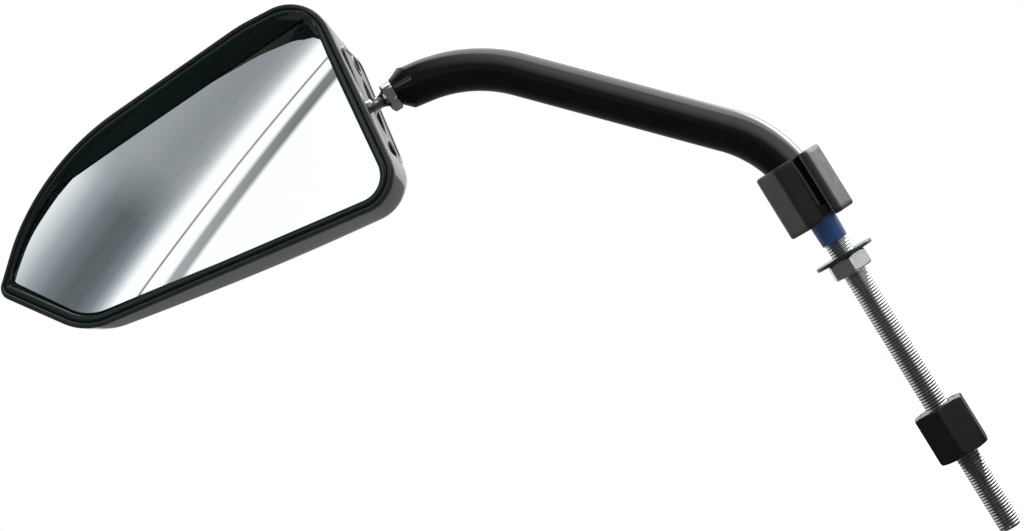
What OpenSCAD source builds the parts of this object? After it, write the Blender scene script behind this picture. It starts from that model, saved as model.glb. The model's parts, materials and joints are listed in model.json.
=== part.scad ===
// Motorcycle mirror for the left side: a glossy shell with a convex glass, held by a ball
// joint on a bent arm, which stands on a threaded stem with a washer, a nut and a capped nut.
// The stem runs up along Z from its free end, and the driver looks along +Y.

/* [Stem] */
// Thread diameter of the stem
stem_d = 10; // [8:0.5:12]
// Chamfer at the free end of the stem
stem_chamfer = 1.2; // [0.5:0.1:2]
// Free length of thread below the capped nut, above the chamfer
free_end = 34; // [25:0.2:45]
// Width of the relief groove that ends the free thread
groove_w = 1.4; // [1:0.1:2]
// Depth of the relief groove
groove_depth = 0.45; // [0.3:0.05:0.8]
// Length of the stem that is screwed into the arm
stem_in_arm = 14; // [10:1:20]
// Running clearance between the thread and the bore of a nut
thread_gap = 0.05; // [0.02:0.01:0.09]

/* [Nuts and washer] */
// Width across flats of the plated nut and of the nut inside the cap
nut_af = 16; // [14:0.5:18]
// Height of the plated nut
jam_nut_h = 7; // [5:0.5:9]
// Height of the nut inside the cap
base_nut_h = 8; // [6:0.5:10]
// Width across flats of the moulded nut cap
cap_af = 21; // [20:0.5:24]
// Height of the moulded nut cap
cap_h = 22.1; // [18:0.1:26]
// Thread left bare between the cap and the plated nut
jam_gap = 63.9; // [50:0.1:75]
// Diameter of the washer
washer_d = 25.4; // [20:0.2:30]
// Thickness of the washer
washer_t = 1.6; // [1:0.1:3]
// Thread left bare above the washer
thread_show = 6.1; // [5.4:0.1:10]

/* [Collar and boot] */
// Diameter of the blue collar at its lower end
collar_d = 11.2; // [10.8:0.1:14]
// Length of the blue collar that shows
collar_show = 9.3; // [6:0.1:14]
// Width across flats of the rubber boot
boot_af = 26; // [24:0.5:30]
// Height of the rubber boot
boot_h = 28.4; // [24:0.2:34]
// Width of the boot's slit at its top
slit_top = 11; // [8:0.5:13]
// Width of the boot's slit at its bottom
slit_bottom = 5; // [3:0.5:8]

/* [Arm] */
// Height of the arm's section
arm_high = 18.2; // [17:0.2:20]
// Depth of the arm's section, front to back
arm_deep = 16.4; // [15:0.2:18]
// Height of the lower bend's corner above the boot
bend_rise = 9; // [7:0.5:14]
// Lean of the long straight from upright, in degrees
arm_lean = 43.3; // [38:0.1:48]
// Length of the long straight, corner to corner
arm_len = 128.7; // [115:0.1:145]
// Lean of the short end from upright, in degrees
end_lean = 82; // [76:0.5:88]
// Reach of the short end beyond its corner, measured level
end_reach = 32.2; // [30:0.1:42]
// Radius of the lower bend on the arm's middle line
bend_r1 = 50; // [40:1:56]
// Radius of the upper bend on the arm's middle line
bend_r2 = 60; // [45:1:70]

/* [Ball stud] */
// Diameter of the ball
ball_d = 12; // [11:0.1:12.4]
// Diameter of the neck at the ball
neck_d = 5.2; // [4.6:0.1:5.6]
// Width across flats of the stud's collar
stud_af = 12; // [11:0.5:13]
// Thickness of the stud's collar
stud_collar_t = 4.9; // [4:0.1:6]
// Distance from the ball's centre to the collar
neck_len = 10.9; // [10.4:0.1:13]
// Diameter of the stud's thread in the arm
stud_d = 8; // [6:0.5:8]
// Length of the stud's thread in the arm
stud_in_arm = 13; // [8:1:16]

/* [Mirror head] */
// Turn of the head away from the arm, in degrees
head_yaw = 8; // [4:0.5:12]
// Tilt of the head's face up, in degrees
head_pitch = 12; // [8:0.5:16]
// Height of the rim's front above the ball's centre
rim_z = 29; // [28:0.5:32]
// Depth of the shell at its deep end
shell_deep = 46; // [44:0.5:50]
// Depth of the shell at its outer tip
shell_tip = 12; // [11:0.5:15]
// Thickness of the shell's wall
wall = 2.5; // [2:0.1:3]
// Width of the black rim round the glass, both pieces together
rim_w = 5.2; // [4.6:0.1:7]
// Clearance between the glass tray and the shell
tray_gap = 0.15; // [0.1:0.05:0.4]
// Clearance between the tray's floor and the bonding layer
floor_gap = 0.03; // [0.02:0.01:0.08]

/* [Glass] */
// Radius of the glass's convex face
glass_r = 1400; // [1000:50:2000]
// Thickness of the glass
glass_t = 2; // [1.5:0.1:2.3]
// Thickness of the bonding layer behind the glass
bond_t = 0.6; // [0.4:0.1:0.8]
// Thickness of the tray's floor
floor_t = 1.5; // [1.2:0.1:1.7]
// Depth of the glass's middle below the rim
glass_drop = 6.9; // [6:0.1:7.4]
// Gap between the glass's edge and the tray
glass_gap = 0.25; // [0.1:0.05:0.5]

/* [Socket] */
// Length of the socket's cover plate
cover_len = 49; // [47:0.5:52]
// Width of the socket's cover plate
cover_w = 34; // [30:0.5:36]
// Thickness of the cover plate
cover_t = 2.8; // [2.6:0.1:3]
// Height of the cover's face above the ball's centre
cover_x = 5.6; // [5.4:0.1:6]
// Distance from an end of the cover to its screw
screw_edge = 5.2; // [4.8:0.1:6]
// Distance from a cover screw to the tip of the pointed slot
slot_edge = 6.3; // [5.5:0.1:7]
// Width of the cover's pointed slot
slot_w = 10.4; // [10:0.1:10.8]
// Running clearance round the ball and between the cups
ball_gap = 0.05; // [0.03:0.01:0.09]
// Wall of the moulded ball seat
seat_t = 1.4; // [1:0.1:1.5]
// Wall of the pressed cup behind the seat
cup_t = 0.95; // [0.8:0.05:1]
// Diameter of the cover screws
screw_d = 3; // [2.5:0.1:4]
// Depth of the spring holder behind the ball
holder_deep = 24; // [20:0.5:28]
// Diameter of the spring's wire
wire_d = 1.6; // [1:0.1:1.8]
// Number of the spring's turns
spring_turns = 6; // [4:1:7]

/* [Hidden] */

// Small overlap for cutters
eps = 0.01;
// Radius of the stem
stem_r = stem_d / 2;

// Levels along the stem, from the foot of its thread up
cap_z = free_end;
jam_z = cap_z + cap_h + jam_gap;
washer_z = jam_z + jam_nut_h;
collar_z = washer_z + washer_t + thread_show;
boot_z = collar_z + collar_show;
boot_top = boot_z + boot_h;
lock_nut_h = 5;
lock_nut_z = boot_z + 1.6;
arm_z = lock_nut_z + lock_nut_h;
stem_top = arm_z + stem_in_arm;

// The arm's middle line runs in the plane of X and Z: corners and the length that each bend takes
corner_1 = [0, boot_top + bend_rise];
corner_2 = corner_1 + arm_len * [-sin(arm_lean), cos(arm_lean)];
arm_end = corner_2 + end_reach * [-1, 1 / tan(end_lean)];
tangent_1 = bend_r1 * tan(arm_lean / 2);
tangent_2 = bend_r2 * tan((end_lean - arm_lean) / 2);
end_straight = end_reach / sin(end_lean) - tangent_2;
bend_steps = 9;
arm_sides = 28;
root_r = 8.2;
arm_seat_r = stud_af / 2 + 0.3;

// The ball's centre
ball_r = ball_d / 2;
ball_x = arm_end[0] - stud_collar_t - neck_len;
ball_z = arm_end[1];

// The rim's outline in the head's own plane, seen from the front: corner x, corner y, corner radius
rim_corners = [
    [4, -47.8, 16],
    [11, 47, 19],
    [-23.7, 51.6, 60],
    [-103.7, 50.3, 60],
    [-145.7, 22, 60],
    [-161.3, 8.2, 5],
    [-138.7, -26.1, 22]
];
corner_steps = 6;
edge_steps = 3;
tip_x = rim_corners[5][0];
shell_mid = [-70, 18];

// The glass's middle, and its slope against the rim: deeper towards the ball joint and the top
glass_mid = [-72, 4];
glass_slope_x = 0.0774;
glass_slope_y = 0.05;

// The cover plate's lean against the head's plane
cover_lean = [0, 3.6, -4.2];
cover_mid_z = 2.5;
screw_pitch = cover_len - 2 * screw_edge;
slot_len = screw_pitch - 2 * slot_edge;
seat_r = ball_r + ball_gap;
seat_out = seat_r + seat_t;
cup_r = seat_out + ball_gap;
cup_out = cup_r + cup_t;
holder_r = cup_out + 0.3;
holder_out = holder_r + 1.5;
flange_x = -0.6;
flange_t = 3;
boss_r = 8.4;

// Points of a rounded outline moved inwards by inset
function unit(v) = v / norm(v);
function left_of(v) = [-v[1], v[0]];
function xy(c) = [c[0], c[1]];
function corner_points(before, here, after, r, inset) =
    let (
        d1 = unit(here - before),
        d2 = unit(after - here),
        n1 = left_of(d1),
        n2 = left_of(d2),
        v = here + inset * (n1 + n2) / (1 + n1 * n2),
        turn = acos(d1 * d2),
        rr = max(r - inset, 0.8),
        start = v - d1 * rr * tan(turn / 2),
        mid = start + n1 * rr,
        a0 = atan2(-n1[1], -n1[0])
    )
    [for (k = [0:corner_steps])
        mid + rr * [cos(a0 + turn * k / corner_steps), sin(a0 + turn * k / corner_steps)]];
function arcs(c, inset) =
    let (n = len(c))
    [for (i = [0:n - 1])
        corner_points(xy(c[(i + n - 1) % n]), xy(c[i]), xy(c[(i + 1) % n]), c[i][2], inset)];
function plain_outline(c, inset) = [for (a = arcs(c, inset)) each a];
function outline(c, inset) =
    let (a = arcs(c, inset), n = len(a))
    [for (i = [0:n - 1])
        let (last = a[i][corner_steps], next = a[(i + 1) % n][0])
        for (p = concat(a[i], [for (k = [1:edge_steps]) last + (next - last) * k / (edge_steps + 1)])) p];

// Depth of the shell behind the rim at a place along the head
function shell_depth(x) =
    shell_tip + (shell_deep - shell_tip) * pow(min(1, max(0, (x - tip_x) / (-tip_x))), 0.75);
function drawn_in(p, along, across) =
    shell_mid + [(p[0] - shell_mid[0]) * (1 - along), (p[1] - shell_mid[1]) * (1 - across)];
function shell_ring(inset, shrink, drop, share) =
    [for (p = outline(rim_corners, inset))
        let (
            place = min(1, max(0, 1 - p[0] / tip_x)),
            along = shrink[0] + (shrink[1] - shrink[0]) * place,
            across = shrink[0] + (shrink[2] - shrink[0]) * place,
            q = drawn_in(p, along, across)
        )
        [q[0], q[1], rim_z - drop - share * shell_depth(q[0])]];

// Rows of the shell from its rim to its back: how far each has drawn in at the outer tip, at the deep end
// along the head and at the deep end across it, and its share of the depth
shell_rows = [
    [[0.001, 0.003, 0.004], 0.1], [[0.006, 0.02, 0.024], 0.4], [[0.012, 0.034, 0.05], 0.65],
    [[0.02, 0.042, 0.084], 0.82], [[0.035, 0.055, 0.108], 0.92], [[0.065, 0.085, 0.13], 0.975],
    [[0.14, 0.15, 0.19], 1.02], [[0.27, 0.28, 0.31], 1.06], [[0.45, 0.46, 0.47], 1.09],
    [[0.65, 0.65, 0.65], 1.11], [[0.82, 0.82, 0.82], 1.122]
];
straight = [0, 0, 0];

// A closed solid through rings of equal count, each turning left seen from the first ring's side
module skin(rings) {
    n = len(rings[0]);
    m = len(rings);
    points = [for (r = rings) each r];
    sides = [for (j = [0:m - 2], i = [0:n - 1])
        each [
            [j * n + i, j * n + (i + 1) % n, (j + 1) * n + i],
            [j * n + (i + 1) % n, (j + 1) * n + (i + 1) % n, (j + 1) * n + i]
        ]];
    first = [[for (i = [n - 1:-1:0]) i]];
    last = [[for (i = [0:n - 1]) (m - 1) * n + i]];
    polyhedron(points, concat(first, sides, last));
}

// The same, closed at both ends by a point: the first ring faces the first point
module skin_between(first_point, rings, last_point) {
    n = len(rings[0]);
    m = len(rings);
    points = concat([for (r = rings) each r], [first_point, last_point]);
    sides = [for (j = [0:m - 2], i = [0:n - 1])
        each [
            [j * n + i, j * n + (i + 1) % n, (j + 1) * n + i],
            [j * n + (i + 1) % n, (j + 1) * n + (i + 1) % n, (j + 1) * n + i]
        ]];
    first = [for (i = [0:n - 1]) [m * n, (i + 1) % n, i]];
    last = [for (i = [0:n - 1]) [(m - 1) * n + i, (m - 1) * n + (i + 1) % n, m * n + 1]];
    polyhedron(points, concat(first, sides, last));
}

// A hexagon by its width across flats, with a corner on +X
module hexagon(af) {
    circle(d = af / cos(30), $fn = 6);
}

// A nut's body with both faces chamfered
module nut_body(af, h, chamfer) {
    corner_r = af / 2 / cos(30);
    intersection() {
        linear_extrude(h)
            hexagon(af);
        rotate_extrude($fn = 72)
            polygon([
                [0, 0], [corner_r - chamfer * 1.7, 0], [corner_r, chamfer],
                [corner_r, h - chamfer], [corner_r - chamfer * 1.7, h], [0, h]
            ]);
    }
}

// The stem, a rod with a chamfered end and a relief groove above the free thread
module stem() {
    color([0.72, 0.74, 0.75])
    rotate_extrude($fn = 64)
        polygon([
            [0, -stem_chamfer], [stem_r - stem_chamfer, -stem_chamfer], [stem_r, 0],
            [stem_r, free_end], [stem_r - groove_depth, free_end + groove_depth / 2],
            [stem_r - groove_depth, free_end + groove_w - groove_depth / 2], [stem_r, free_end + groove_w],
            [stem_r, stem_top - stem_chamfer], [stem_r - stem_chamfer, stem_top], [0, stem_top]
        ]);
}

module washer() {
    color([0.06, 0.1, 0.1])
    translate([0, 0, washer_z])
        rotate_extrude($fn = 96)
            polygon([
                [stem_r + 0.25, 0], [washer_d / 2 - 0.4, 0], [washer_d / 2, 0.4],
                [washer_d / 2, washer_t - 0.4], [washer_d / 2 - 0.4, washer_t], [stem_r + 0.25, washer_t]
            ]);
}

// A nut on the stem, with the countersinks of its thread at both mouths
module threaded_nut(af, h, turn) {
    bore_r = stem_r + thread_gap;
    difference() {
        rotate([0, 0, turn])
            nut_body(af, h, 0.9);
        translate([0, 0, -1])
            cylinder(r = bore_r, h = h + 2, $fn = 64);
        for (end = [0, 1])
            translate([0, 0, end * h])
                mirror([0, 0, end])
                    translate([0, 0, -eps])
                        cylinder(r1 = bore_r + 0.7, r2 = bore_r, h = 0.7, $fn = 64);
    }
}

module jam_nut() {
    color([0.8, 0.83, 0.82])
    translate([0, 0, jam_z])
        threaded_nut(nut_af, jam_nut_h, 30);
}

// The nut inside the cap, which shows as a bright ring at the cap's mouth
module base_nut() {
    color([0.62, 0.64, 0.63])
    translate([0, 0, cap_z + cap_h - base_nut_h])
        threaded_nut(nut_af, base_nut_h, 18.5);
}

// The moulded cap: chamfered at its mouth and rounded at its lower end
module nut_cap() {
    corner_r = cap_af / 2 / cos(30);
    color([0.06, 0.065, 0.07])
    translate([0, 0, cap_z])
        difference() {
            intersection() {
                rotate([0, 0, 18.5])
                    linear_extrude(cap_h)
                        hexagon(cap_af);
                rotate_extrude($fn = 96)
                    polygon(concat(
                        [[0, 0], [corner_r - 3.4, 0]],
                        [for (a = [0:15:90]) [corner_r - 3.4 + 3.4 * sin(a), 2.2 * (1 - cos(a))]],
                        [[corner_r, cap_h - 0.8], [corner_r - 1.5, cap_h], [0, cap_h]]
                    ));
            }
            translate([0, 0, -1])
                cylinder(r = stem_r + 0.3, h = cap_h, $fn = 64);
            translate([0, 0, cap_h - base_nut_h])
                rotate([0, 0, 18.5])
                    linear_extrude(base_nut_h + 1)
                        hexagon(nut_af + 0.04);
        }
}

// The blue collar, a thin sleeve that is a little wider where it enters the boot
module thread_collar() {
    color([0.09, 0.24, 0.44])
    difference() {
        translate([0, 0, collar_z])
            rotate_extrude($fn = 64)
                polygon([
                    [0, 0], [collar_d / 2 - 0.3, 0], [collar_d / 2, 0.3],
                    [collar_d / 2 + 0.35, lock_nut_z - collar_z], [0, lock_nut_z - collar_z]
                ]);
        cylinder(r = stem_r, h = boot_top, $fn = 64);
    }
}

module arm_lock_nut() {
    color([0.7, 0.72, 0.72])
    translate([0, 0, lock_nut_z])
        difference() {
            nut_body(nut_af - 2, lock_nut_h, 0.8);
            translate([0, 0, -1])
                cylinder(r = stem_r, h = lock_nut_h + 2, $fn = 64);
        }
}

// The rubber boot: a rounded hexagon that grips the arm's root, slit open at the front
module arm_boot() {
    corner_r = boot_af / 2 / cos(30);
    round_r = 2;
    hex_corners = [for (k = [0:5]) [corner_r * cos(60 * k), corner_r * sin(60 * k), round_r]];
    slit_x = 3.2;
    color([0.15, 0.165, 0.165])
    difference() {
        translate([0, 0, boot_z])
            linear_extrude(boot_h)
                polygon(plain_outline(hex_corners, 0));
        arm_body(0.05);
        cylinder(r = root_r + 0.2, h = arm_z + 1, $fn = 64);
        translate([slit_x, 0, boot_z - 1])
            rotate([90, 0, 0])
                linear_extrude(boot_af)
                    polygon([
                        [-slit_bottom / 2, 0], [slit_bottom / 2, 0],
                        [slit_bottom / 2, boot_h + 2], [slit_bottom / 2 - slit_top, boot_h + 2],
                        [slit_bottom / 2 - slit_top * 0.72, boot_h * 0.6]
                    ]);
    }
}

// Stations along the arm: x, z, lean, and how far the section has grown from the round root
arm_stations = concat(
    [[0, arm_z, 0, 0], [0, corner_1[1] - tangent_1 - 3, 0, 0]],
    [for (k = [0:bend_steps])
        let (a = arm_lean * k / bend_steps)
        [
            -bend_r1 * (1 - cos(a)), corner_1[1] - tangent_1 + bend_r1 * sin(a), a,
            min(1, 0.3 + k / bend_steps)
        ]],
    [for (k = [0:bend_steps])
        let (
            a = arm_lean + (end_lean - arm_lean) * k / bend_steps,
            start = corner_2 + tangent_2 * [sin(arm_lean), -cos(arm_lean)],
            mid = start - bend_r2 * [cos(arm_lean), sin(arm_lean)]
        )
        [mid[0] + bend_r2 * cos(a), mid[1] + bend_r2 * sin(a), a, 1]]
);

function arm_ring(station, grow) =
    let (
        a = station[2],
        high = root_r + (arm_high / 2 - root_r) * station[3] + grow,
        deep = root_r + (arm_deep / 2 - root_r) * station[3] + grow
    )
    [for (i = [0:arm_sides - 1])
        let (w = -360 * i / arm_sides)
        [station[0] + high * cos(w) * cos(a), deep * sin(w), station[1] + high * cos(w) * sin(a)]];

// The taper at the arm's end: it starts on a slanted ring, further back at the top, and ends round the stud
function taper_start(grow) =
    let (high = arm_high / 2 + grow, deep = arm_deep / 2 + grow)
    [for (i = [0:arm_sides - 1])
        let (
            w = -360 * i / arm_sides,
            rise = high * cos(w),
            back = max(2.6, min(end_straight * 0.97, arm_high * 0.44 + rise * 0.82))
        )
        [arm_end[0] + back, deep * sin(w), arm_end[1] - back / tan(end_lean) + rise]];
function taper_end(grow) =
    [for (i = [0:arm_sides - 1])
        let (w = -360 * i / arm_sides, r = arm_seat_r + grow)
        [arm_end[0], r * sin(w), arm_end[1] + r * cos(w)]];

module arm_body(grow) {
    skin(concat([for (s = arm_stations) arm_ring(s, grow)], [taper_start(grow), taper_end(grow)]));
}

// The arm: an oval bar bent twice, with its end tapered to the stud's collar
module arm() {
    color([0.06, 0.06, 0.06])
    difference() {
        arm_body(0);
        translate([0, 0, arm_z - 1])
            cylinder(r = stem_r, h = stem_in_arm + 1, $fn = 64);
        translate([arm_end[0] - 1, 0, arm_end[1]])
            rotate([0, 90, 0])
                cylinder(d = stud_d, h = stud_in_arm + 1, $fn = 48);
    }
}

// The ball stud: ball, waisted neck, chamfered hexagonal collar and thread, turned in one
module ball_stud() {
    neck_r = neck_d / 2;
    collar_r = stud_af / 2 / cos(30);
    color([0.8, 0.82, 0.83])
    translate([ball_x, 0, ball_z])
        rotate([0, 90, 0])
            union() {
                sphere(r = ball_r, $fn = 64);
                rotate_extrude($fn = 48)
                    polygon([
                        [0, 0], [neck_r, 0], [neck_r, neck_len - 3.2], [neck_r + 0.35, neck_len - 1.4],
                        [neck_r + 1.2, neck_len], [stud_d / 2, neck_len + stud_collar_t],
                        [stud_d / 2, neck_len + stud_collar_t + stud_in_arm - 0.8],
                        [stud_d / 2 - 0.8, neck_len + stud_collar_t + stud_in_arm],
                        [0, neck_len + stud_collar_t + stud_in_arm]
                    ]);
                translate([0, 0, neck_len])
                    intersection() {
                        linear_extrude(stud_collar_t)
                            hexagon(stud_af);
                        rotate_extrude($fn = 64)
                            polygon([
                                [0, 0], [stud_af / 2 - 0.6, 0], [collar_r, 1.1],
                                [collar_r, stud_collar_t - 0.7], [collar_r - 1.2, stud_collar_t],
                                [0, stud_collar_t]
                            ]);
                    }
            }
}

// A bowl round the ball: part of a hollow sphere that opens at the given angle from its back
module bowl(inner, outer, reach) {
    rotate([0, -90, 0])
        rotate_extrude($fn = 72)
            polygon(concat(
                [for (k = [0:12]) outer * [sin(reach * k / 12), cos(reach * k / 12)]],
                [for (k = [12:-1:0]) inner * [sin(reach * k / 12), cos(reach * k / 12)]]
            ));
}

module ball_seat() {
    color([0.85, 0.85, 0.8])
    translate([ball_x, 0, ball_z])
        bowl(seat_r, seat_out, 58);
}

module in_head() {
    translate([ball_x, 0, ball_z])
        rotate([90 - head_pitch, 0, -head_yaw])
            children();
}

module in_cover() {
    in_head()
        rotate(cover_lean)
            children();
}

module pressure_cup() {
    color([0.55, 0.56, 0.57])
    in_cover()
        bowl(cup_r, cup_out, 55);
}

// The spring, wound round the ball joint's own axis
module pressure_spring() {
    wire_r = wire_d / 2;
    coil_r = holder_r - 1.1 - wire_r;
    per_turn = 14;
    chord_r = coil_r * cos(180 / per_turn);
    front = sqrt(pow(cup_out + wire_r + 0.05, 2) - chord_r * chord_r);
    travel = holder_deep - wire_r - 0.03 - front;
    sides = 8;
    steps = spring_turns * per_turn;
    // closed end turns: the coil climbs only between the first and the last turn
    function climb(k) = min(1, max(0, (k - per_turn * 0.8) / (steps - per_turn * 1.6)));
    color([0.6, 0.62, 0.63])
    in_cover()
        skin([for (k = [0:steps])
            let (a = 360 * k / per_turn, x = -front - travel * climb(k))
            [for (i = [0:sides - 1])
                let (w = -360 * i / sides, r = coil_r + wire_r * cos(w))
                [x - wire_r * sin(w), r * cos(a), r * sin(a)]]]);
}

// Slabs in the cover's frame: a flat outline with X outwards, Y along the cover, Z across it
module slab(x0, x1) {
    translate([x0, 0, 0])
        rotate([90, 0, 90])
            linear_extrude(x1 - x0)
                children();
}

module rounded_box(w, h, r) {
    corners = [[w / 2, -h / 2, r], [w / 2, h / 2, r], [-w / 2, h / 2, r], [-w / 2, -h / 2, r]];
    polygon(plain_outline(corners, 0));
}

module at_screws() {
    for (side = [-1, 1])
        translate([0, side * screw_pitch / 2, 0])
            children();
}

module spring_holder() {
    color([0.2, 0.2, 0.21])
    in_cover()
        difference() {
            union() {
                slab(flange_x - flange_t, flange_x)
                    rounded_box(screw_pitch + 9, 17, 4);
                slab(-holder_deep - 2, flange_x - flange_t)
                    circle(r = holder_out, $fn = 72);
            }
            slab(-holder_deep, flange_x + 1)
                circle(r = holder_r, $fn = 72);
            at_screws()
                slab(flange_x - flange_t - 1, flange_x + 1)
                    circle(d = screw_d + 0.3, $fn = 32);
        }
}

module holder_nuts() {
    nut_h = 2.4;
    color([0.75, 0.76, 0.76])
    in_cover()
        at_screws()
            difference() {
                slab(flange_x - flange_t - nut_h, flange_x - flange_t)
                    hexagon(screw_d * 1.83);
                slab(flange_x - flange_t - nut_h - 1, flange_x)
                    circle(d = screw_d, $fn = 32);
            }
}

// Pan-headed screws, sunk below the cover's face, with a cross in the head
module cover_screws() {
    head_x = cover_x - 1.6;
    color([0.3, 0.3, 0.3])
    in_cover()
        at_screws()
            difference() {
                union() {
                    slab(flange_x - flange_t - 4, head_x)
                        circle(d = screw_d, $fn = 32);
                    slab(head_x, head_x + 1.3)
                        circle(r = screw_d * 0.92, $fn = 40);
                }
                for (turn = [0, 90])
                    translate([head_x + 0.5, 0, 0])
                        rotate([turn, 0, 0])
                            translate([0, -screw_d * 0.55, -0.3])
                                cube([2, screw_d * 1.1, 0.6]);
            }
}

// The pointed slot that the stud's neck swings in, where two circles cross
module slot_shape() {
    slot_r = (pow(slot_len / 2, 2) + pow(slot_w / 2, 2)) / slot_w;
    intersection_for (side = [-1, 1])
        translate([0, side * (slot_r - slot_w / 2)])
            circle(r = slot_r, $fn = 128);
}

module cover_shape(grow) {
    translate([0, cover_mid_z])
        rounded_box(cover_len + 2 * grow, cover_w + 2 * grow, 6 + grow);
}

// The socket's cover: a plate with a ring behind it that closes over the ball's front
module socket_cover() {
    edge = 0.5;
    color([0.16, 0.165, 0.165])
    in_cover()
        difference() {
            union() {
                slab(cover_x - cover_t, cover_x - edge)
                    cover_shape(0);
                slab(cover_x - edge, cover_x)
                    cover_shape(-edge);
                slab(-0.4, cover_x - cover_t)
                    circle(r = boss_r, $fn = 72);
            }
            sphere(r = seat_r, $fn = 96);
            slab(0, cover_x + 1)
                slot_shape();
            at_screws() {
                slab(-2, cover_x + 1)
                    circle(d = screw_d + 0.3, $fn = 32);
                slab(cover_x - 1.6, cover_x + 1)
                    circle(r = screw_d * 1.15, $fn = 40);
            }
        }
}

// The back's middle, behind the outer face or one wall in front of it
function back_point(lift) = [shell_mid[0], shell_mid[1], rim_z - lift - 1.127 * shell_depth(shell_mid[0])];

// Rings of the outer form, from the rounded lip of the rim back to the domed rear
function outer_rings(inset, lift) = concat(
    [
        shell_ring(inset + 1.3, straight, lift, 0),
        shell_ring(inset + 0.4, straight, 0.4 + lift, 0),
        shell_ring(inset, straight, 1.1 + lift, 0)
    ],
    [for (row = shell_rows) shell_ring(inset, row[0], lift, row[1])]
);

// Rings of the hollow, one wall further in, from the rear up to the rim
function inner_rings() = concat(
    [for (k = [len(shell_rows) - 1:-1:1]) shell_ring(wall, shell_rows[k][0], -wall, shell_rows[k][1])],
    [
        shell_ring(wall, straight, 1.2, 0),
        shell_ring(wall - 0.3, straight, 0.3, 0),
        shell_ring(wall - 0.8, straight, 0, 0)
    ]
);

// The outer form alone, which trims what is moulded onto the shell's inside
module shell_form(inset, lift) {
    rings = outer_rings(inset, lift);
    skin_between([shell_mid[0], shell_mid[1], rim_z - lift], rings, back_point(lift));
}

// The housing: shell, seat block for the socket, ledge for the tray and the cover's pocket
module housing() {
    color([0.05, 0.055, 0.055])
    difference() {
        union() {
            in_head()
                skin_between(back_point(-wall), concat(inner_rings(), outer_rings(0, 0)), back_point(0));
            intersection() {
                in_head()
                    shell_form(0.5, 0.5);
                in_cover()
                    slab(flange_x, cover_x - cover_t) {
                        translate([0, -1.6])
                            rounded_box(cover_len + 4, 18, 4);
                        circle(r = boss_r + 0.9, $fn = 72);
                    }
            }
        }
        in_cover() {
            slab(cover_x - cover_t, cover_x + 6)
                cover_shape(0.1);
            slab(-8, cover_x)
                circle(r = boss_r + 0.1, $fn = 72);
            at_screws()
                slab(-8, cover_x)
                    circle(d = screw_d + 0.3, $fn = 32);
        }
    }
}

// A round dish between two depths behind the glass's front face, curved as the glass is
module dish(from, to) {
    reach = 112;
    bands = 9;
    function sag(r) = glass_r - sqrt(glass_r * glass_r - r * r);
    in_glass()
        rotate_extrude($fn = 96)
            polygon(concat(
                [for (k = [0:bands]) let (r = reach * k / bands) [r, -sag(r) - from]],
                [for (k = [bands:-1:0]) let (r = reach * k / bands) [r, -sag(r) - to]]
            ));
}

module in_glass() {
    in_head()
        translate([glass_mid[0], glass_mid[1], rim_z - glass_drop])
            rotate([-atan(glass_slope_y), atan(glass_slope_x), 0])
                children();
}

// A straight block on the rim's outline, moved inwards by inset
module rim_block(inset, top) {
    in_head()
        translate([0, 0, rim_z - 40])
            linear_extrude(40 - top)
                polygon(plain_outline(rim_corners, inset));
}

module mirror_glass() {
    color([0.82, 0.85, 0.86])
    intersection() {
        rim_block(rim_w + glass_gap, 0);
        dish(0, glass_t);
    }
}

module glass_bond() {
    color([0.25, 0.25, 0.26])
    intersection() {
        rim_block(rim_w + 3, 0);
        dish(glass_t, glass_t + bond_t);
    }
}

// The tray's outer wall follows the shell's hollow: where a point of the outline comes to lie at a level
rows_tip = [for (row = shell_rows) [row[1], row[0][0]]];
rows_along = [for (row = shell_rows) [row[1], row[0][1]]];
rows_across = [for (row = shell_rows) [row[1], row[0][2]]];
function tray_point(p, z) =
    let (
        share = max(0.1, (rim_z + wall - z) / shell_depth(p[0])),
        place = min(1, max(0, 1 - p[0] / tip_x)),
        tip = lookup(share, rows_tip) * (1 - place),
        q = drawn_in(p, tip + lookup(share, rows_along) * place, tip + lookup(share, rows_across) * place)
    )
    [q[0], q[1], z];

// Height of the glass's front face, or of a face behind it, over a place in the head's plane
glass_normal = [
    cos(atan(glass_slope_y)) * sin(atan(glass_slope_x)), sin(atan(glass_slope_y)),
    cos(atan(glass_slope_y)) * cos(atan(glass_slope_x))
];
function dish_z(p, behind) =
    let (
        c = [glass_mid[0], glass_mid[1], rim_z - glass_drop] - (glass_r + behind) * glass_normal,
        dx = p[0] - c[0],
        dy = p[1] - c[1]
    )
    c[2] + sqrt(glass_r * glass_r - dx * dx - dy * dy);
function towards_mid(p, k) = shell_mid + (p - shell_mid) * k;

// The tray that carries the glass: an inner rim, a wall that follows the shell and a curved floor
module glass_tray() {
    edge = wall + tray_gap;
    top = glass_t + bond_t + floor_gap;
    back = top + floor_t;
    inner = outline(rim_corners, rim_w);
    outer = outline(rim_corners, edge);
    lip = rim_z - 1.3;
    floor_top = [for (k = [0.25:0.25:0.75])
        [for (p = inner) let (q = towards_mid(p, k)) [q[0], q[1], dish_z(q, top)]]];
    floor_back = [for (k = [0.75:-0.25:0.25])
        [for (p = inner) let (q = towards_mid(p, k)) [q[0], q[1], dish_z(q, back)]]];
    wall_down = [for (k = [0:0.25:1])
        [for (p = outer) tray_point(p, lip + (dish_z(p, back) - lip) * k)]];
    front = [
        [for (p = inner) [p[0], p[1], dish_z(p, top)]],
        shell_ring(rim_w, straight, 2, 0),
        shell_ring(rim_w - 0.4, straight, 0.9, 0),
        shell_ring(rim_w - 1.1, straight, 0.5, 0),
        shell_ring(edge + 0.7, straight, 0.5, 0),
        shell_ring(edge + 0.2, straight, 0.8, 0)
    ];
    color([0.04, 0.07, 0.065])
    in_head()
        skin_between(
            [shell_mid[0], shell_mid[1], dish_z(shell_mid, top)],
            concat(floor_top, front, wall_down, floor_back),
            [shell_mid[0], shell_mid[1], dish_z(shell_mid, back)]
        );
}

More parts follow.
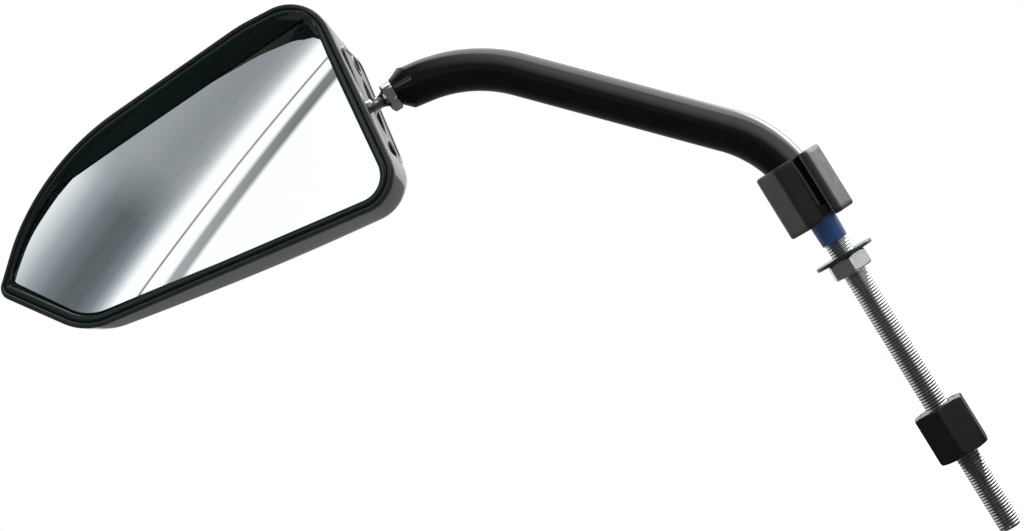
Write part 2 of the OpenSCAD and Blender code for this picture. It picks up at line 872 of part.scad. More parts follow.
stem();
washer();
jam_nut();
base_nut();
nut_cap();
thread_collar();
arm_lock_nut();
arm_boot();
arm();
ball_stud();
ball_seat();
pressure_cup();
pressure_spring();
spring_holder();
holder_nuts();
cover_screws();
socket_cover();
housing();
glass_tray();
glass_bond();
mirror_glass();
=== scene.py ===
"""Motorcycle mirror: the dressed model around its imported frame."""

import json
import math

import bmesh
import bpy
from mathutils import Matrix, Vector


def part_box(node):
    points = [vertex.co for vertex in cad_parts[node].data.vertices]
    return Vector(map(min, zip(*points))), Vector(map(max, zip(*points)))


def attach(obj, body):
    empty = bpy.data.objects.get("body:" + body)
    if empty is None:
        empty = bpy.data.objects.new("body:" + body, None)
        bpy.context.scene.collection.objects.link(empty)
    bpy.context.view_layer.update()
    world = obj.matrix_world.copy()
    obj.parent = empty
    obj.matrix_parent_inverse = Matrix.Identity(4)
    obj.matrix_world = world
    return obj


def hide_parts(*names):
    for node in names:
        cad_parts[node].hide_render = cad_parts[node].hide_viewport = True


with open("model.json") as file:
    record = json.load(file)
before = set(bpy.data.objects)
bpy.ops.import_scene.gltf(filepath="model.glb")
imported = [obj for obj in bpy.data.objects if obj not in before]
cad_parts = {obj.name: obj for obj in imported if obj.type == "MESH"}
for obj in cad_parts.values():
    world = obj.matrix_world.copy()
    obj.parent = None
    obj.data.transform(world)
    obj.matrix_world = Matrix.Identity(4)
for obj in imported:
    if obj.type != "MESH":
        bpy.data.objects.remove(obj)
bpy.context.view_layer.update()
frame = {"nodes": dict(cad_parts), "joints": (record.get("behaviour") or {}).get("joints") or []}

bl_info = {
    "name": "Motorcycle mirror",
    "version": (1, 0, 0),
    "blender": (4, 5, 0),
    "location": "View3D > Sidebar > Mirror",
    "description": "Builds the shell, glass, arm, stem and finishes of a motorcycle mirror",
    "category": "Object",
}

MM = 0.001
JOINTS = {joint["name"]: joint for joint in frame["joints"]}
BALL = Vector(JOINTS["head_tilt"]["pos_m"])


# Sizes and colours that a user would change


def length(name, words, millimetres):
    return bpy.props.FloatProperty(
        name=name, description=words, default=millimetres * MM, unit="LENGTH", precision=5
    )


def tint(name, words, colour):
    return bpy.props.FloatVectorProperty(
        name=name, description=words, default=colour, subtype="COLOR", size=3, min=0, max=1
    )


class MirrorHeadSizes(bpy.types.PropertyGroup):
    """Sizes of the head: shell, tray and glass."""

    yaw: bpy.props.FloatProperty(
        name="Yaw",
        description="Turn of the head away from the arm",
        default=math.radians(8),
        subtype="ANGLE",
    )
    pitch: bpy.props.FloatProperty(
        name="Pitch",
        description="Tilt of the head's face up",
        default=math.radians(12),
        subtype="ANGLE",
    )
    rim: length("Rim height", "Height of the rim's front above the ball's centre", 29)
    deep: length("Deep end", "Depth of the shell at its deep end", 46)
    tip: length("Outer tip", "Depth of the shell at its outer tip", 12)
    wall: length("Wall", "Thickness of the shell's wall", 2.5)
    bezel: length("Rim width", "Width of the rim round the glass", 6)
    tray_gap: length("Tray gap", "Clearance between the tray and the shell", 0.15)
    glass_radius: length("Glass radius", "Radius of the convex face", 1400)
    glass_thickness: length("Glass thickness", "Thickness of the glass", 2)
    bond: length("Bond", "Thickness of the bonding layer", 0.6)
    floor: length("Tray floor", "Thickness of the tray's floor", 1.5)
    drop: length("Glass depth", "Depth of the glass's middle below the rim", 6.9)
    glass_gap: length("Glass gap", "Gap between the glass's edge and the tray", 0.25)


class MirrorStemSizes(bpy.types.PropertyGroup):
    """Sizes of the stem, the boot and the arm."""

    pitch: length("Thread pitch", "Rise of the thread in one turn", 1.25)
    depth: length("Thread depth", "Depth of the thread", 0.32)
    radius: length("Stem radius", "Radius over the thread's crests", 5)
    chamfer: length("Chamfer", "Chamfer at the stem's free end", 1.2)
    boot_flats: length("Boot flats", "Width across the boot's flats", 26)


class MirrorColours(bpy.types.PropertyGroup):
    """Colours of the finishes."""

    shell: tint("Shell", "Polished black of the shell", (0.012, 0.014, 0.014))
    tray: tint("Tray", "Green-black of the tray", (0.0035, 0.0085, 0.008))
    cover: tint("Cover", "Black of the socket's cover", (0.016, 0.017, 0.017))
    enamel: tint("Enamel", "Gloss enamel of the arm", (0.0024, 0.0025, 0.0024))
    rubber: tint("Rubber", "Boot rubber", (0.0045, 0.0068, 0.0065))
    collar: tint("Collar", "Blue of the thread's collar", (0.004, 0.032, 0.11))
    cap: tint("Cap", "Black of the nut's cap", (0.0025, 0.0032, 0.004))
    washer: tint("Washer", "Black coat of the washer", (0.006, 0.012, 0.012))
    steel: tint("Steel", "Plated steel of the stem", (0.62, 0.65, 0.66))
    zinc: tint("Zinc", "Bright zinc of the nut", (0.78, 0.80, 0.78))
    bright: tint("Bright steel", "Plating of the ball stud", (0.86, 0.87, 0.87))
    silver: tint("Silvering", "Silvered face of the glass", (0.93, 0.95, 0.95))


GROUPS = {
    "mirror_head_sizes": MirrorHeadSizes,
    "mirror_stem_sizes": MirrorStemSizes,
    "mirror_colours": MirrorColours,
}


def head_sizes():
    return bpy.context.scene.mirror_head_sizes


def stem_sizes():
    return bpy.context.scene.mirror_stem_sizes


def colours():
    return bpy.context.scene.mirror_colours


# Working by hand: select, enter edit mode, extrude


def only(obj):
    for other in bpy.context.selected_objects:
        other.select_set(False)
    obj.select_set(True)
    bpy.context.view_layer.objects.active = obj


def nothing():
    for other in bpy.context.selected_objects:
        other.select_set(False)
    bpy.context.view_layer.objects.active = None


def apply_all(obj):
    only(obj)
    for modifier in list(obj.modifiers):
        bpy.ops.object.modifier_apply(modifier=modifier.name)


def smooth(obj, degrees):
    only(obj)
    bpy.ops.object.shade_smooth_by_angle(angle=math.radians(degrees))


def tidy(obj, distance=0.000004, recalculate=True):
    only(obj)
    bpy.ops.object.mode_set(mode="EDIT")
    bpy.ops.mesh.select_all(action="SELECT")
    bpy.ops.mesh.remove_doubles(threshold=distance)
    if recalculate:
        bpy.ops.mesh.normals_make_consistent(inside=False)
    bpy.ops.object.mode_set(mode="OBJECT")


def key(point):
    return (round(point[0], 7), round(point[1], 7), round(point[2], 7))


def place_selected(mesh, before, after):
    """Moves the selected vertices, which lie on the ring before, onto the ring after."""
    target = {key(old): new for old, new in zip(before, after)}
    for vertex in mesh.verts:
        if vertex.select:
            vertex.co = target[key(vertex.co)]


def loft(name, rings, first=None, last=None, closed=False):
    """A ring is added, laid on the first outline, and extruded from outline to outline."""
    nothing()
    count = len(rings[0])
    bpy.ops.mesh.primitive_circle_add(vertices=count, radius=0.01, fill_type="NOTHING")
    obj = bpy.context.object
    obj.name = name
    obj.data.name = name
    rings = [[Vector(key(p)) for p in ring] for ring in rings]
    for vertex, point in zip(obj.data.vertices, rings[0]):
        vertex.co = point
    bpy.ops.object.mode_set(mode="EDIT")
    bpy.ops.mesh.select_all(action="SELECT")
    mesh = bmesh.from_edit_mesh(obj.data)
    if first is not None:
        close_to(obj, first)
        mesh = bmesh.from_edit_mesh(obj.data)
        on_ring = {key(p) for p in rings[0]}
        bpy.ops.mesh.select_all(action="DESELECT")
        for edge in mesh.edges:
            if all(key(v.co) in on_ring for v in edge.verts):
                edge.select_set(True)
        mesh.select_flush_mode()
    here = rings[0]
    for ring in rings[1:]:
        bpy.ops.mesh.extrude_region_move()
        mesh = bmesh.from_edit_mesh(obj.data)
        place_selected(mesh, here, ring)
        here = ring
    if last is not None:
        close_to(obj, last)
    bmesh.update_edit_mesh(obj.data)
    bpy.ops.mesh.select_all(action="SELECT")
    if closed:
        bpy.ops.mesh.remove_doubles(threshold=0.000002)
    bpy.ops.mesh.normals_make_consistent(inside=False)
    bpy.ops.object.mode_set(mode="OBJECT")
    return obj


def close_to(obj, point):
    """Extrudes the selected ring and merges it to one point."""
    bpy.ops.mesh.extrude_region_move()
    mesh = bmesh.from_edit_mesh(obj.data)
    for vertex in mesh.verts:
        if vertex.select:
            vertex.co = Vector(point)
    bmesh.update_edit_mesh(obj.data)
    bpy.ops.mesh.remove_doubles(threshold=0.0000005)


def combine(obj, tool, how):
    """Joins a tool to a piece, or cuts the piece with it; the tool goes."""
    modifier = obj.modifiers.new("shape", "BOOLEAN")
    modifier.operation = how
    modifier.solver = "EXACT"
    modifier.object = tool
    apply_all(obj)
    only(tool)
    bpy.ops.object.delete()


def hex_reach(flats, angle):
    """Radius of a hexagon at an angle from one of its corners."""
    return flats / 2 / math.cos(angle % (math.pi / 3) - math.pi / 6)


def turned(name, rows, base, turn=0.0, closed=True, lying=False):
    """Rings on one axis: each row is its level, its radius and the width across flats or 0."""
    rings = []
    for level, radius, flats in rows:
        points = []
        for i in range(96):
            angle = 2 * math.pi * i / 96
            reach = min(radius, hex_reach(flats, angle)) if flats else radius
            u, v = reach * math.cos(angle + turn), reach * math.sin(angle + turn)
            point = (level, v, -u) if lying else (u, v, level)
            points.append(Vector(base) + Vector(point) * MM)
        rings.append(points)
    if closed:
        return loft(name, rings + [rings[0]], closed=True)
    ends = [sum(points, Vector()) / len(points) for points in (rings[0], rings[-1])]
    return loft(name, rings, *ends)


def seat(obj, body, material, slot, *nodes):
    """Gives a finished piece its body and its finish, and hides the CAD node that it stands for."""
    obj.data.materials.clear()
    obj.data.materials.append(material)
    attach(obj, body)
    if nodes:
        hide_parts(*nodes)
    return obj


# The head's outline, in millimetres in the head's own plane


# Corners of the rim: place, radius, and how wide the rim's parts are on the side that follows
RIM = [
    (4, -47.8, 16, 1),
    (11, 47, 19, 0.72),
    (-22, 50, 70, 0.72),
    (-114, 46.2, 105, 0.62),
    (-145, 25.5, 80, 0.62),
    (-163, 8.2, 5, 0.96),
    (-138.2, -25.3, 26, 0.9),
]
# The glass's opening at the foot of the tray's wall, with the hood along its top
SIGHT = [
    (-3.6, -40.9, 10, 1),
    (6.2, 43.4, 7, 1),
    (-24, 41.3, 60, 1),
    (-123, 34.9, 6, 1),
    (-141.4, 25.3, 60, 1),
    (-156.4, 10.9, 3.5, 1),
    (-134.8, -19.9, 20, 1),
]
TIP_X = -163
MIDDLE = Vector((-70, 18))
ARC_STEPS = 14
SPACING = 4.0
SHELL_ROWS = [
    (0.001, 0.003, 0.004, 0.1),
    (0.006, 0.020, 0.024, 0.4),
    (0.012, 0.034, 0.050, 0.65),
    (0.020, 0.042, 0.084, 0.82),
    (0.035, 0.055, 0.108, 0.92),
    (0.065, 0.085, 0.130, 0.975),
    (0.14, 0.15, 0.19, 1.02),
    (0.27, 0.28, 0.31, 1.06),
    (0.45, 0.46, 0.47, 1.09),
    (0.65, 0.65, 0.65, 1.11),
    (0.82, 0.82, 0.82, 1.122),
]
GLASS_MIDDLE = (-72, 4)
GLASS_SLOPE = (0.0774, 0.05)


def corner_arc(before, here, after, radius, inset, inset_next=None):
    along = (here - before).normalized()
    onward = (after - here).normalized()
    inward = Vector((-along.y, along.x))
    inward_next = Vector((-onward.y, onward.x))
    inset_next = inset if inset_next is None else inset_next
    lean = inward.dot(inward_next)
    if abs(inset - inset_next) < 1e-9:
        vertex = here + (inward + inward_next) * (inset / (1 + lean))
    else:
        vertex = here + (
            inward * (inset - inset_next * lean) + inward_next * (inset_next - inset * lean)
        ) / (1 - lean**2)
    turn = math.acos(max(-1, min(1, along.dot(onward))))
    radius = max(radius - (inset + inset_next) / 2, 0.8)
    centre = vertex - along * (radius * math.tan(turn / 2)) + inward * radius
    start = math.atan2(-inward.y, -inward.x)
    return [
        centre
        + Vector((math.cos(start + turn * k / ARC_STEPS), math.sin(start + turn * k / ARC_STEPS)))
        * radius
        for k in range(ARC_STEPS + 1)
    ]


def outline(rows, inset):
    corners = [Vector(row[:2]) for row in rows]
    count = len(corners)
    arcs = [
        corner_arc(
            corners[i - 1],
            corners[i],
            corners[(i + 1) % count],
            rows[i][2],
            inset * rows[i - 1][3],
            inset * rows[i][3],
        )
        for i in range(count)
    ]
    points = []
    for i, arc in enumerate(arcs):
        points.extend(arc)
        run = math.dist(RIM[(i + 1) % count][:2], RIM[i][:2])
        steps = max(1, int(run / SPACING / 2))
        start, end = arc[-1], arcs[(i + 1) % count][0]
        points.extend(start.lerp(end, k / (steps + 1)) for k in range(1, steps + 1))
    return points


def nearest(p, a, b):
    """The point on a line from a to b that lies nearest to p."""
    run = b - a
    t = (p - a).dot(run) / max(1e-9, run.length_squared)
    return a + run * min(1, max(0, t))


def within(p, loop):
    count = len(loop)
    hits = 0
    for i in range(count):
        a, b = loop[i], loop[(i + 1) % count]
        if (a.y > p.y) != (b.y > p.y):
            hits += p.x < a.x + (b.x - a.x) * (p.y - a.y) / (b.y - a.y)
    return hits % 2 == 1


def lip_outline(inset):
    """The rim's outline, drawn in but never over the glass's opening."""
    opening = outline(SIGHT, 0)
    sides = list(zip(opening, opening[1:] + opening[:1]))
    points = []
    for p in outline(RIM, inset):
        if within(p, opening):
            p = min((nearest(p, a, b) for a, b in sides), key=lambda q: (q - p).length)
        points.append(p)
    return points


def evened(points, count):
    """The same closed outline with its points evenly apart."""
    loop = points + points[:1]
    lengths = [0.0]
    for a, b in zip(loop, loop[1:]):
        lengths.append(lengths[-1] + (b - a).length)
    even, j = [], 0
    for k in range(count):
        goal = lengths[-1] * k / count
        while lengths[j + 1] < goal:
            j += 1
        even.append(loop[j].lerp(loop[j + 1], (goal - lengths[j]) / (lengths[j + 1] - lengths[j])))
    return even


def millimetres(value):
    return value / MM


def depth_at(x):
    sizes = head_sizes()
    tip, deep = millimetres(sizes.tip), millimetres(sizes.deep)
    share = min(1, max(0, (x - TIP_X) / -TIP_X))
    return tip + (deep - tip) * share**0.75


def fine_rows():
    """The shell's rows with a smooth curve between them."""
    rows = [(0, 0, 0, 0)] + SHELL_ROWS
    fine = []
    for i in range(len(rows) - 1):
        steps = 2 if i < 2 else 3
        for k in range(steps):
            t = k / steps
            around = [rows[max(0, i - 1)], rows[i], rows[i + 1], rows[min(len(rows) - 1, i + 2)]]
            fine.append(tuple(spline([row[c] for row in around], t) for c in range(4)))
    fine.append(rows[-1])
    return fine


def spline(p, t):
    """A curve through four values, between the middle two."""
    return 0.5 * (
        2 * p[1]
        + (p[2] - p[0]) * t
        + (2 * p[0] - 5 * p[1] + 4 * p[2] - p[3]) * t * t
        + (3 * p[1] - p[0] - 3 * p[2] + p[3]) * t**3
    )


def to_row(point):
    """A place in the head's own plane, in millimetres, in the frame of the whole part."""
    sizes = head_sizes()
    turn = Matrix.Rotation(-sizes.yaw, 3, "Z") @ Matrix.Rotation(math.pi / 2 - sizes.pitch, 3, "X")
    return BALL + turn @ (Vector(point) * MM)


def drawn_in(p, along, across):
    x, y = MIDDLE
    return Vector((x + (p.x - x) * (1 - along), y + (p.y - y) * (1 - across)))


def ring(inset, drop, row=(0, 0, 0, 0), lip=False):
    rim = millimetres(head_sizes().rim)
    tip, along, across, share = row
    points = []
    for p in lip_outline(inset) if lip else outline(RIM, inset):
        place = min(1, max(0, 1 - p.x / TIP_X))
        q = drawn_in(p, tip + (along - tip) * place, tip + (across - tip) * place**3)
        points.append(to_row((q.x, q.y, rim - drop - share * depth_at(q.x))))
    return points


def glass_z(x, y, behind):
    """Height of the glass's front face, or of a face behind it."""
    sizes = head_sizes()
    lean_x, lean_y = math.atan(GLASS_SLOPE[0]), math.atan(GLASS_SLOPE[1])
    normal = Vector(
        (math.cos(lean_y) * math.sin(lean_x), math.sin(lean_y), math.cos(lean_y) * math.cos(lean_x))
    )
    radius = millimetres(sizes.glass_radius)
    rim, drop = millimetres(sizes.rim), millimetres(sizes.drop)
    centre = Vector((GLASS_MIDDLE[0], GLASS_MIDDLE[1], rim - drop)) - normal * (radius + behind)
    return centre.z + math.sqrt(radius**2 - (x - centre.x) ** 2 - (y - centre.y) ** 2)


def face_ring(inset, share, behind, count=0):
    points = []
    opening = outline(SIGHT, inset)
    for p in evened(opening, count) if count else opening:
        q = MIDDLE + (p - MIDDLE) * share
        points.append(to_row((q.x, q.y, glass_z(q.x, q.y, behind))))
    return points


# The socket's cover lies in its own frame: x outwards, y along it and z across it


COVER_LEAN = (3.6, -6.6)
COVER_X = 5.6
COVER_THICK = 2.8
COVER_MIDDLE = 2.5
SCREW_REACH = 19.3
SCREW_HOLE = 1.65
SCREW_SINK = 3.45
SLOT_SIZE = (26, 12.4)
BALL_CLEAR = 6.05


def to_cover(x, y, z):
    around_y, around_z = (math.radians(angle) for angle in COVER_LEAN)
    lean = Matrix.Rotation(around_z, 3, "Z") @ Matrix.Rotation(around_y, 3, "Y")
    return to_row(lean @ Vector((x, y, z)))


def box_shape(wide, high, radius, middle):
    """A rounded box, drawn in by an inset."""
    corners = [
        Vector((wide / 2 * a, middle + high / 2 * b))
        for a, b in ((1, -1), (1, 1), (-1, 1), (-1, -1))
    ]

    def shape(inset):
        return [
            p
            for i in range(4)
            for p in corner_arc(corners[i - 1], corners[i], corners[(i + 1) % 4], radius, inset)
        ]

    return shape


def disc_shape(radius, along=0.0):
    def shape(inset):
        angles = [2 * math.pi * i / 64 for i in range(64)]
        reach = radius - inset
        return [Vector((along + reach * math.cos(a), reach * math.sin(a))) for a in angles]

    return shape


def slot_shape(long, wide):
    """The pointed slot, where two circles cross."""
    radius = ((long / 2) ** 2 + (wide / 2) ** 2) / wide
    half = math.asin(long / 2 / radius)

    def shape(inset):
        points = []
        for side in (1, -1):
            for k in range(24):
                a = half * (1 - 2 * k / 24) * side
                z = side * (radius * math.cos(a) - radius + wide / 2 - inset)
                points.append(Vector((radius * math.sin(a), z)))
        return points

    return shape


def slab(name, shape, rows):
    """A flat piece on a shape in the cover's frame: each row is its level and its inset."""
    rings = [[to_cover(level, p.x, p.y) for p in shape(inset)] for level, inset in rows]
    ends = [sum(points, Vector()) / len(points) for points in (rings[0], rings[-1])]
    return loft(name, rings, *ends)


# Finishes


def new_material(name):
    material = bpy.data.materials.new(name)
    material.use_nodes = True
    nodes = material.node_tree.nodes
    return material, nodes, material.node_tree.links, nodes["Principled BSDF"]


def noise(nodes, links, scale, detail=2.0, stretch=None):
    """Noise on the piece's own coordinates, in cycles per metre."""
    place = nodes.new("ShaderNodeTexCoord")
    texture = nodes.new("ShaderNodeTexNoise")
    texture.inputs["Scale"].default_value = scale
    texture.inputs["Detail"].default_value = detail
    source = place.outputs["Object"]
    if stretch:
        mapping = nodes.new("ShaderNodeMapping")
        mapping.inputs["Scale"].default_value = stretch
        links.new(source, mapping.inputs["Vector"])
        source = mapping.outputs["Vector"]
    links.new(source, texture.inputs["Vector"])
    return texture.outputs["Fac"]


def ranged(nodes, links, value, low, high, start=0.3, end=0.7):
    span = nodes.new("ShaderNodeMapRange")
    span.inputs["From Min"].default_value = start
    span.inputs["From Max"].default_value = end
    span.inputs["To Min"].default_value = low
    span.inputs["To Max"].default_value = high
    links.new(value, span.inputs["Value"])
    return span.outputs["Result"]


def bumped(nodes, links, shader, value, strength, distance):
    bump = nodes.new("ShaderNodeBump")
    bump.inputs["Strength"].default_value = strength
    bump.inputs["Distance"].default_value = distance
    links.new(value, bump.inputs["Height"])
    links.new(bump.outputs["Normal"], shader.inputs["Normal"])


def varied(nodes, links, shader, colour, value, spread):
    """The colour, a little lighter and darker by the noise."""
    ramp = nodes.new("ShaderNodeValToRGB")
    ramp.color_ramp.elements[0].position = 0.3
    ramp.color_ramp.elements[1].position = 0.7
    ramp.color_ramp.elements[0].color = (*[c * (1 - spread) for c in colour], 1)
    ramp.color_ramp.elements[1].color = (*[min(1, c * (1 + spread)) for c in colour], 1)
    links.new(value, ramp.inputs["Fac"])
    links.new(ramp.outputs["Color"], shader.inputs["Base Color"])


def gloss(name, colour, rough, waviness=0.0, coat=0.0):
    """Polished moulding or enamel: faint waves, fine rub marks in the roughness."""
    material, nodes, links, shader = new_material(name)
    varied(nodes, links, shader, colour, noise(nodes, links, 60), 0.12)
    marks = noise(nodes, links, 900, 3.0, (1, 1, 0.15))
    links.new(ranged(nodes, links, marks, rough * 0.85, rough * 1.2), shader.inputs["Roughness"])
    shader.inputs["Coat Weight"].default_value = coat
    shader.inputs["Coat Roughness"].default_value = 0.03
    if waviness:
        bumped(nodes, links, shader, noise(nodes, links, 110, 1.0), waviness, 0.0004)
    return material


def grained(name, colour, rough, grain, strength, sheen=0.0):
    """Matt moulding or rubber: a fine grain and slightly uneven colour."""
    material, nodes, links, shader = new_material(name)
    varied(nodes, links, shader, colour, noise(nodes, links, 90, 3.0), 0.2)
    marks = noise(nodes, links, 260, 4.0)
    links.new(ranged(nodes, links, marks, rough * 0.85, rough * 1.2), shader.inputs["Roughness"])
    shader.inputs["Sheen Weight"].default_value = sheen
    bumped(nodes, links, shader, noise(nodes, links, grain, 4.0), strength, 0.0001)
    return material


def metal(name, colour, rough, spread, scale, strength=0.1, stretch=None):
    """Plated metal: cloudy plating and fine tool marks."""
    material, nodes, links, shader = new_material(name)
    shader.inputs["Metallic"].default_value = 1.0
    varied(nodes, links, shader, colour, noise(nodes, links, scale, 4.0), spread)
    marks = noise(nodes, links, scale * 6, 3.0, stretch)
    links.new(ranged(nodes, links, marks, rough * 0.6, rough * 1.5), shader.inputs["Roughness"])
    bumped(nodes, links, shader, marks, strength, 0.00005)
    return material


def silvered(name, colour):
    """Back-silvered glass: a clear mirror with the faintest ripple."""
    material, nodes, links, shader = new_material(name)
    shader.inputs["Metallic"].default_value = 1.0
    varied(nodes, links, shader, colour, noise(nodes, links, 12, 1.0), 0.01)
    links.new(
        ranged(nodes, links, noise(nodes, links, 35), 0.0, 0.012), shader.inputs["Roughness"]
    )
    return material


FINISHES = {}


class MIRROR_OT_finishes(bpy.types.Operator):
    """Makes the finishes of every piece"""

    bl_idname = "mirror.finishes"
    bl_label = "Make finishes"

    def execute(self, context):
        tone = colours()
        FINISHES.update(
            shell=gloss("polished black shell", tone.shell, 0.08, 0.01),
            tray=gloss("green-black tray", tone.tray, 0.12),
            cover=gloss("black cover", tone.cover, 0.12, 0.01),
            enamel=gloss("gloss enamel", tone.enamel, 0.06, 0.03, 0.5),
            rubber=grained("boot rubber", tone.rubber, 0.42, 2600, 0.25, 0.1),
            collar=grained("blue sleeve", tone.collar, 0.36, 1500, 0.15),
            cap=grained("black nut cap", tone.cap, 0.3, 1500, 0.03),
            washer=gloss("black washer coat", tone.washer, 0.25),
            steel=metal("plated thread", tone.steel, 0.14, 0.08, 300, 0.02),
            zinc=metal("bright zinc plate", tone.zinc, 0.26, 0.04, 220, 0.015),
            bright=metal("bright plated steel", tone.bright, 0.09, 0.04, 200, 0.03),
            spring=metal("oiled spring steel", (0.3, 0.31, 0.32), 0.3, 0.15, 300),
            screw=metal("blackened steel", (0.08, 0.08, 0.085), 0.35, 0.2, 300),
            nylon=grained("natural nylon", (0.6, 0.6, 0.55), 0.45, 1800, 0.1),
            holder=grained("black holder", (0.02, 0.02, 0.021), 0.5, 1800, 0.2),
            bond=grained("soft bond", (0.05, 0.05, 0.052), 0.7, 1200, 0.2),
            glass=silvered("silvered glass", tone.silver),
        )
        return {"FINISHED"}


# The head


class MIRROR_OT_shell(bpy.types.Operator):
    """Lofts the shell from its hollow over the rounded rim to the domed back"""

    bl_idname = "mirror.shell"
    bl_label = "Add shell"

    def execute(self, context):
        wall = millimetres(head_sizes().wall)
        rows = fine_rows()
        deep = [row for row in rows if row[3] >= 0.38]
        rings = [ring(wall, -wall, row) for row in reversed(deep)]
        rings += [ring(wall, 1.2), ring(wall - 0.12, 0.5), ring(wall - 0.45, 0.12)]
        rings += [ring(wall - 0.8, 0), ring(1.3, 0), ring(0.8, 0.1), ring(0.35, 0.4)]
        rings += [ring(0.08, 0.85), ring(0, 1.4)]
        rings += [ring(0, 0, row) for row in rows if row[3] > 0.09]
        rim = millimetres(head_sizes().rim)
        back = 1.127 * depth_at(MIDDLE.x)
        inside = to_row((MIDDLE.x, MIDDLE.y, rim + wall - back))
        outside = to_row((MIDDLE.x, MIDDLE.y, rim - back))
        obj = loft("shell", rings, inside, outside)
        behind = COVER_X - COVER_THICK
        combine(obj, slab("block", box_shape(48, 18, 4, -1.6), ((-0.6, 0), (behind, 0))), "UNION")
        for name, shape, low, high in (
            ("pocket", box_shape(49.2, 34.2, 6.1, COVER_MIDDLE), behind, COVER_X + 6),
            ("socket", disc_shape(8.5), -8, COVER_X),
            ("upper", disc_shape(SCREW_HOLE, SCREW_REACH), -8, COVER_X),
            ("lower", disc_shape(SCREW_HOLE, -SCREW_REACH), -8, COVER_X),
        ):
            combine(obj, slab(name, shape, ((low, 0), (high, 0))), "DIFFERENCE")
        smooth(obj, 38)
        seat(obj, "head", FINISHES["shell"], "shell_plastic", "housing")
        return {"FINISHED"}


class MIRROR_OT_tray(bpy.types.Operator):
    """Lofts the tray: hood wall, bezel and curved floor"""

    bl_idname = "mirror.tray"
    bl_label = "Add tray"

    def execute(self, context):
        sizes = head_sizes()
        bezel = millimetres(sizes.bezel)
        edge = millimetres(sizes.wall + sizes.tray_gap)
        top = millimetres(sizes.glass_thickness + sizes.bond)
        back = top + millimetres(sizes.floor)
        rings = [face_ring(0, share, top) for share in (0.3, 0.6, 0.9, 1)]
        rings += [face_ring(0, 1, -0.2), face_ring(-0.05, 1, -0.6)]
        for inset, drop in ((0, 2.6), (0.08, 1.8), (0.4, 1.1), (0.8, 0.65), (1.2, 0.5)):
            rings.append(ring(bezel - inset, drop, lip=True))
        rings.append(ring(edge + 0.75, 0.5))
        rings += [ring(edge + 0.4, 0.62), ring(edge + 0.12, 0.9), ring(edge, 1.3)]
        rings += self.wall_down(edge, back)
        rings += [face_ring(0, share, back) for share in (0.9, 0.6, 0.3)]
        x, y = MIDDLE
        first = to_row((x, y, glass_z(x, y, top)))
        last = to_row((x, y, glass_z(x, y, back)))
        obj = loft("tray", rings, first, last)
        smooth(obj, 38)
        seat(obj, "head", FINISHES["tray"], "tray_plastic", "glass_tray")
        return {"FINISHED"}

    def wall_down(self, edge, back):
        sizes = head_sizes()
        rim, wall = millimetres(sizes.rim), millimetres(sizes.wall)
        lip = rim - 1.3
        rings = []
        for k in range(1, 6):
            points = []
            for p in outline(RIM, edge):
                z = lip + (glass_z(p.x, p.y, back) - lip) * k / 5
                share = max(0.1, (rim + wall - z) / depth_at(p.x))
                place = min(1, max(0, 1 - p.x / TIP_X))
                tip = self.look_up(share, 0)
                along = tip + (self.look_up(share, 1) - tip) * place
                q = drawn_in(p, along, tip + (self.look_up(share, 2) - tip) * place**3)
                points.append(to_row((q.x, q.y, z)))
            rings.append(points)
        return rings

    def look_up(self, share, column):
        for low, high in zip(SHELL_ROWS, SHELL_ROWS[1:]):
            if share <= high[3]:
                t = (share - low[3]) / (high[3] - low[3])
                return low[column] + (high[column] - low[column]) * t
        return SHELL_ROWS[-1][column]


class MIRROR_OT_glass(bpy.types.Operator):
    """Lofts the convex glass with ground edges, and the bonding layer behind it"""

    bl_idname = "mirror.glass"
    bl_label = "Add glass"

    AROUND = 240

    def execute(self, context):
        sizes = head_sizes()
        edge = millimetres(sizes.glass_gap)
        thick = millimetres(sizes.glass_thickness)
        count = self.AROUND
        shares = [0.12 + 0.85 * k / 20 for k in range(21)]
        rings = [face_ring(edge, share, 0, count) for share in shares]
        rings += [face_ring(edge + 0.25, 1, 0, count), face_ring(edge, 1, 0.25, count)]
        rings += [face_ring(edge, 1, thick - 0.25, count), face_ring(edge + 0.25, 1, thick, count)]
        rings += [face_ring(edge, share, thick, count) for share in (0.8, 0.5, 0.2)]
        x, y = MIDDLE
        first = to_row((x, y, glass_z(x, y, 0)))
        last = to_row((x, y, glass_z(x, y, thick)))
        obj = loft("glass", rings, first, last)
        smooth(obj, 20)
        seat(obj, "head", FINISHES["glass"], "silvered_glass", "mirror_glass")
        bond = millimetres(sizes.bond)
        rings = [face_ring(3, share, thick) for share in (0.3, 0.7, 1)]
        rings += [face_ring(3, share, thick + bond) for share in (1, 0.7, 0.3)]
        last = to_row((x, y, glass_z(x, y, thick + bond)))
        obj = loft("bond", rings, to_row((x, y, glass_z(x, y, thick))), last)
        smooth(obj, 30)
        seat(obj, "head", FINISHES["bond"], "bond_layer", "glass_bond")
        return {"FINISHED"}


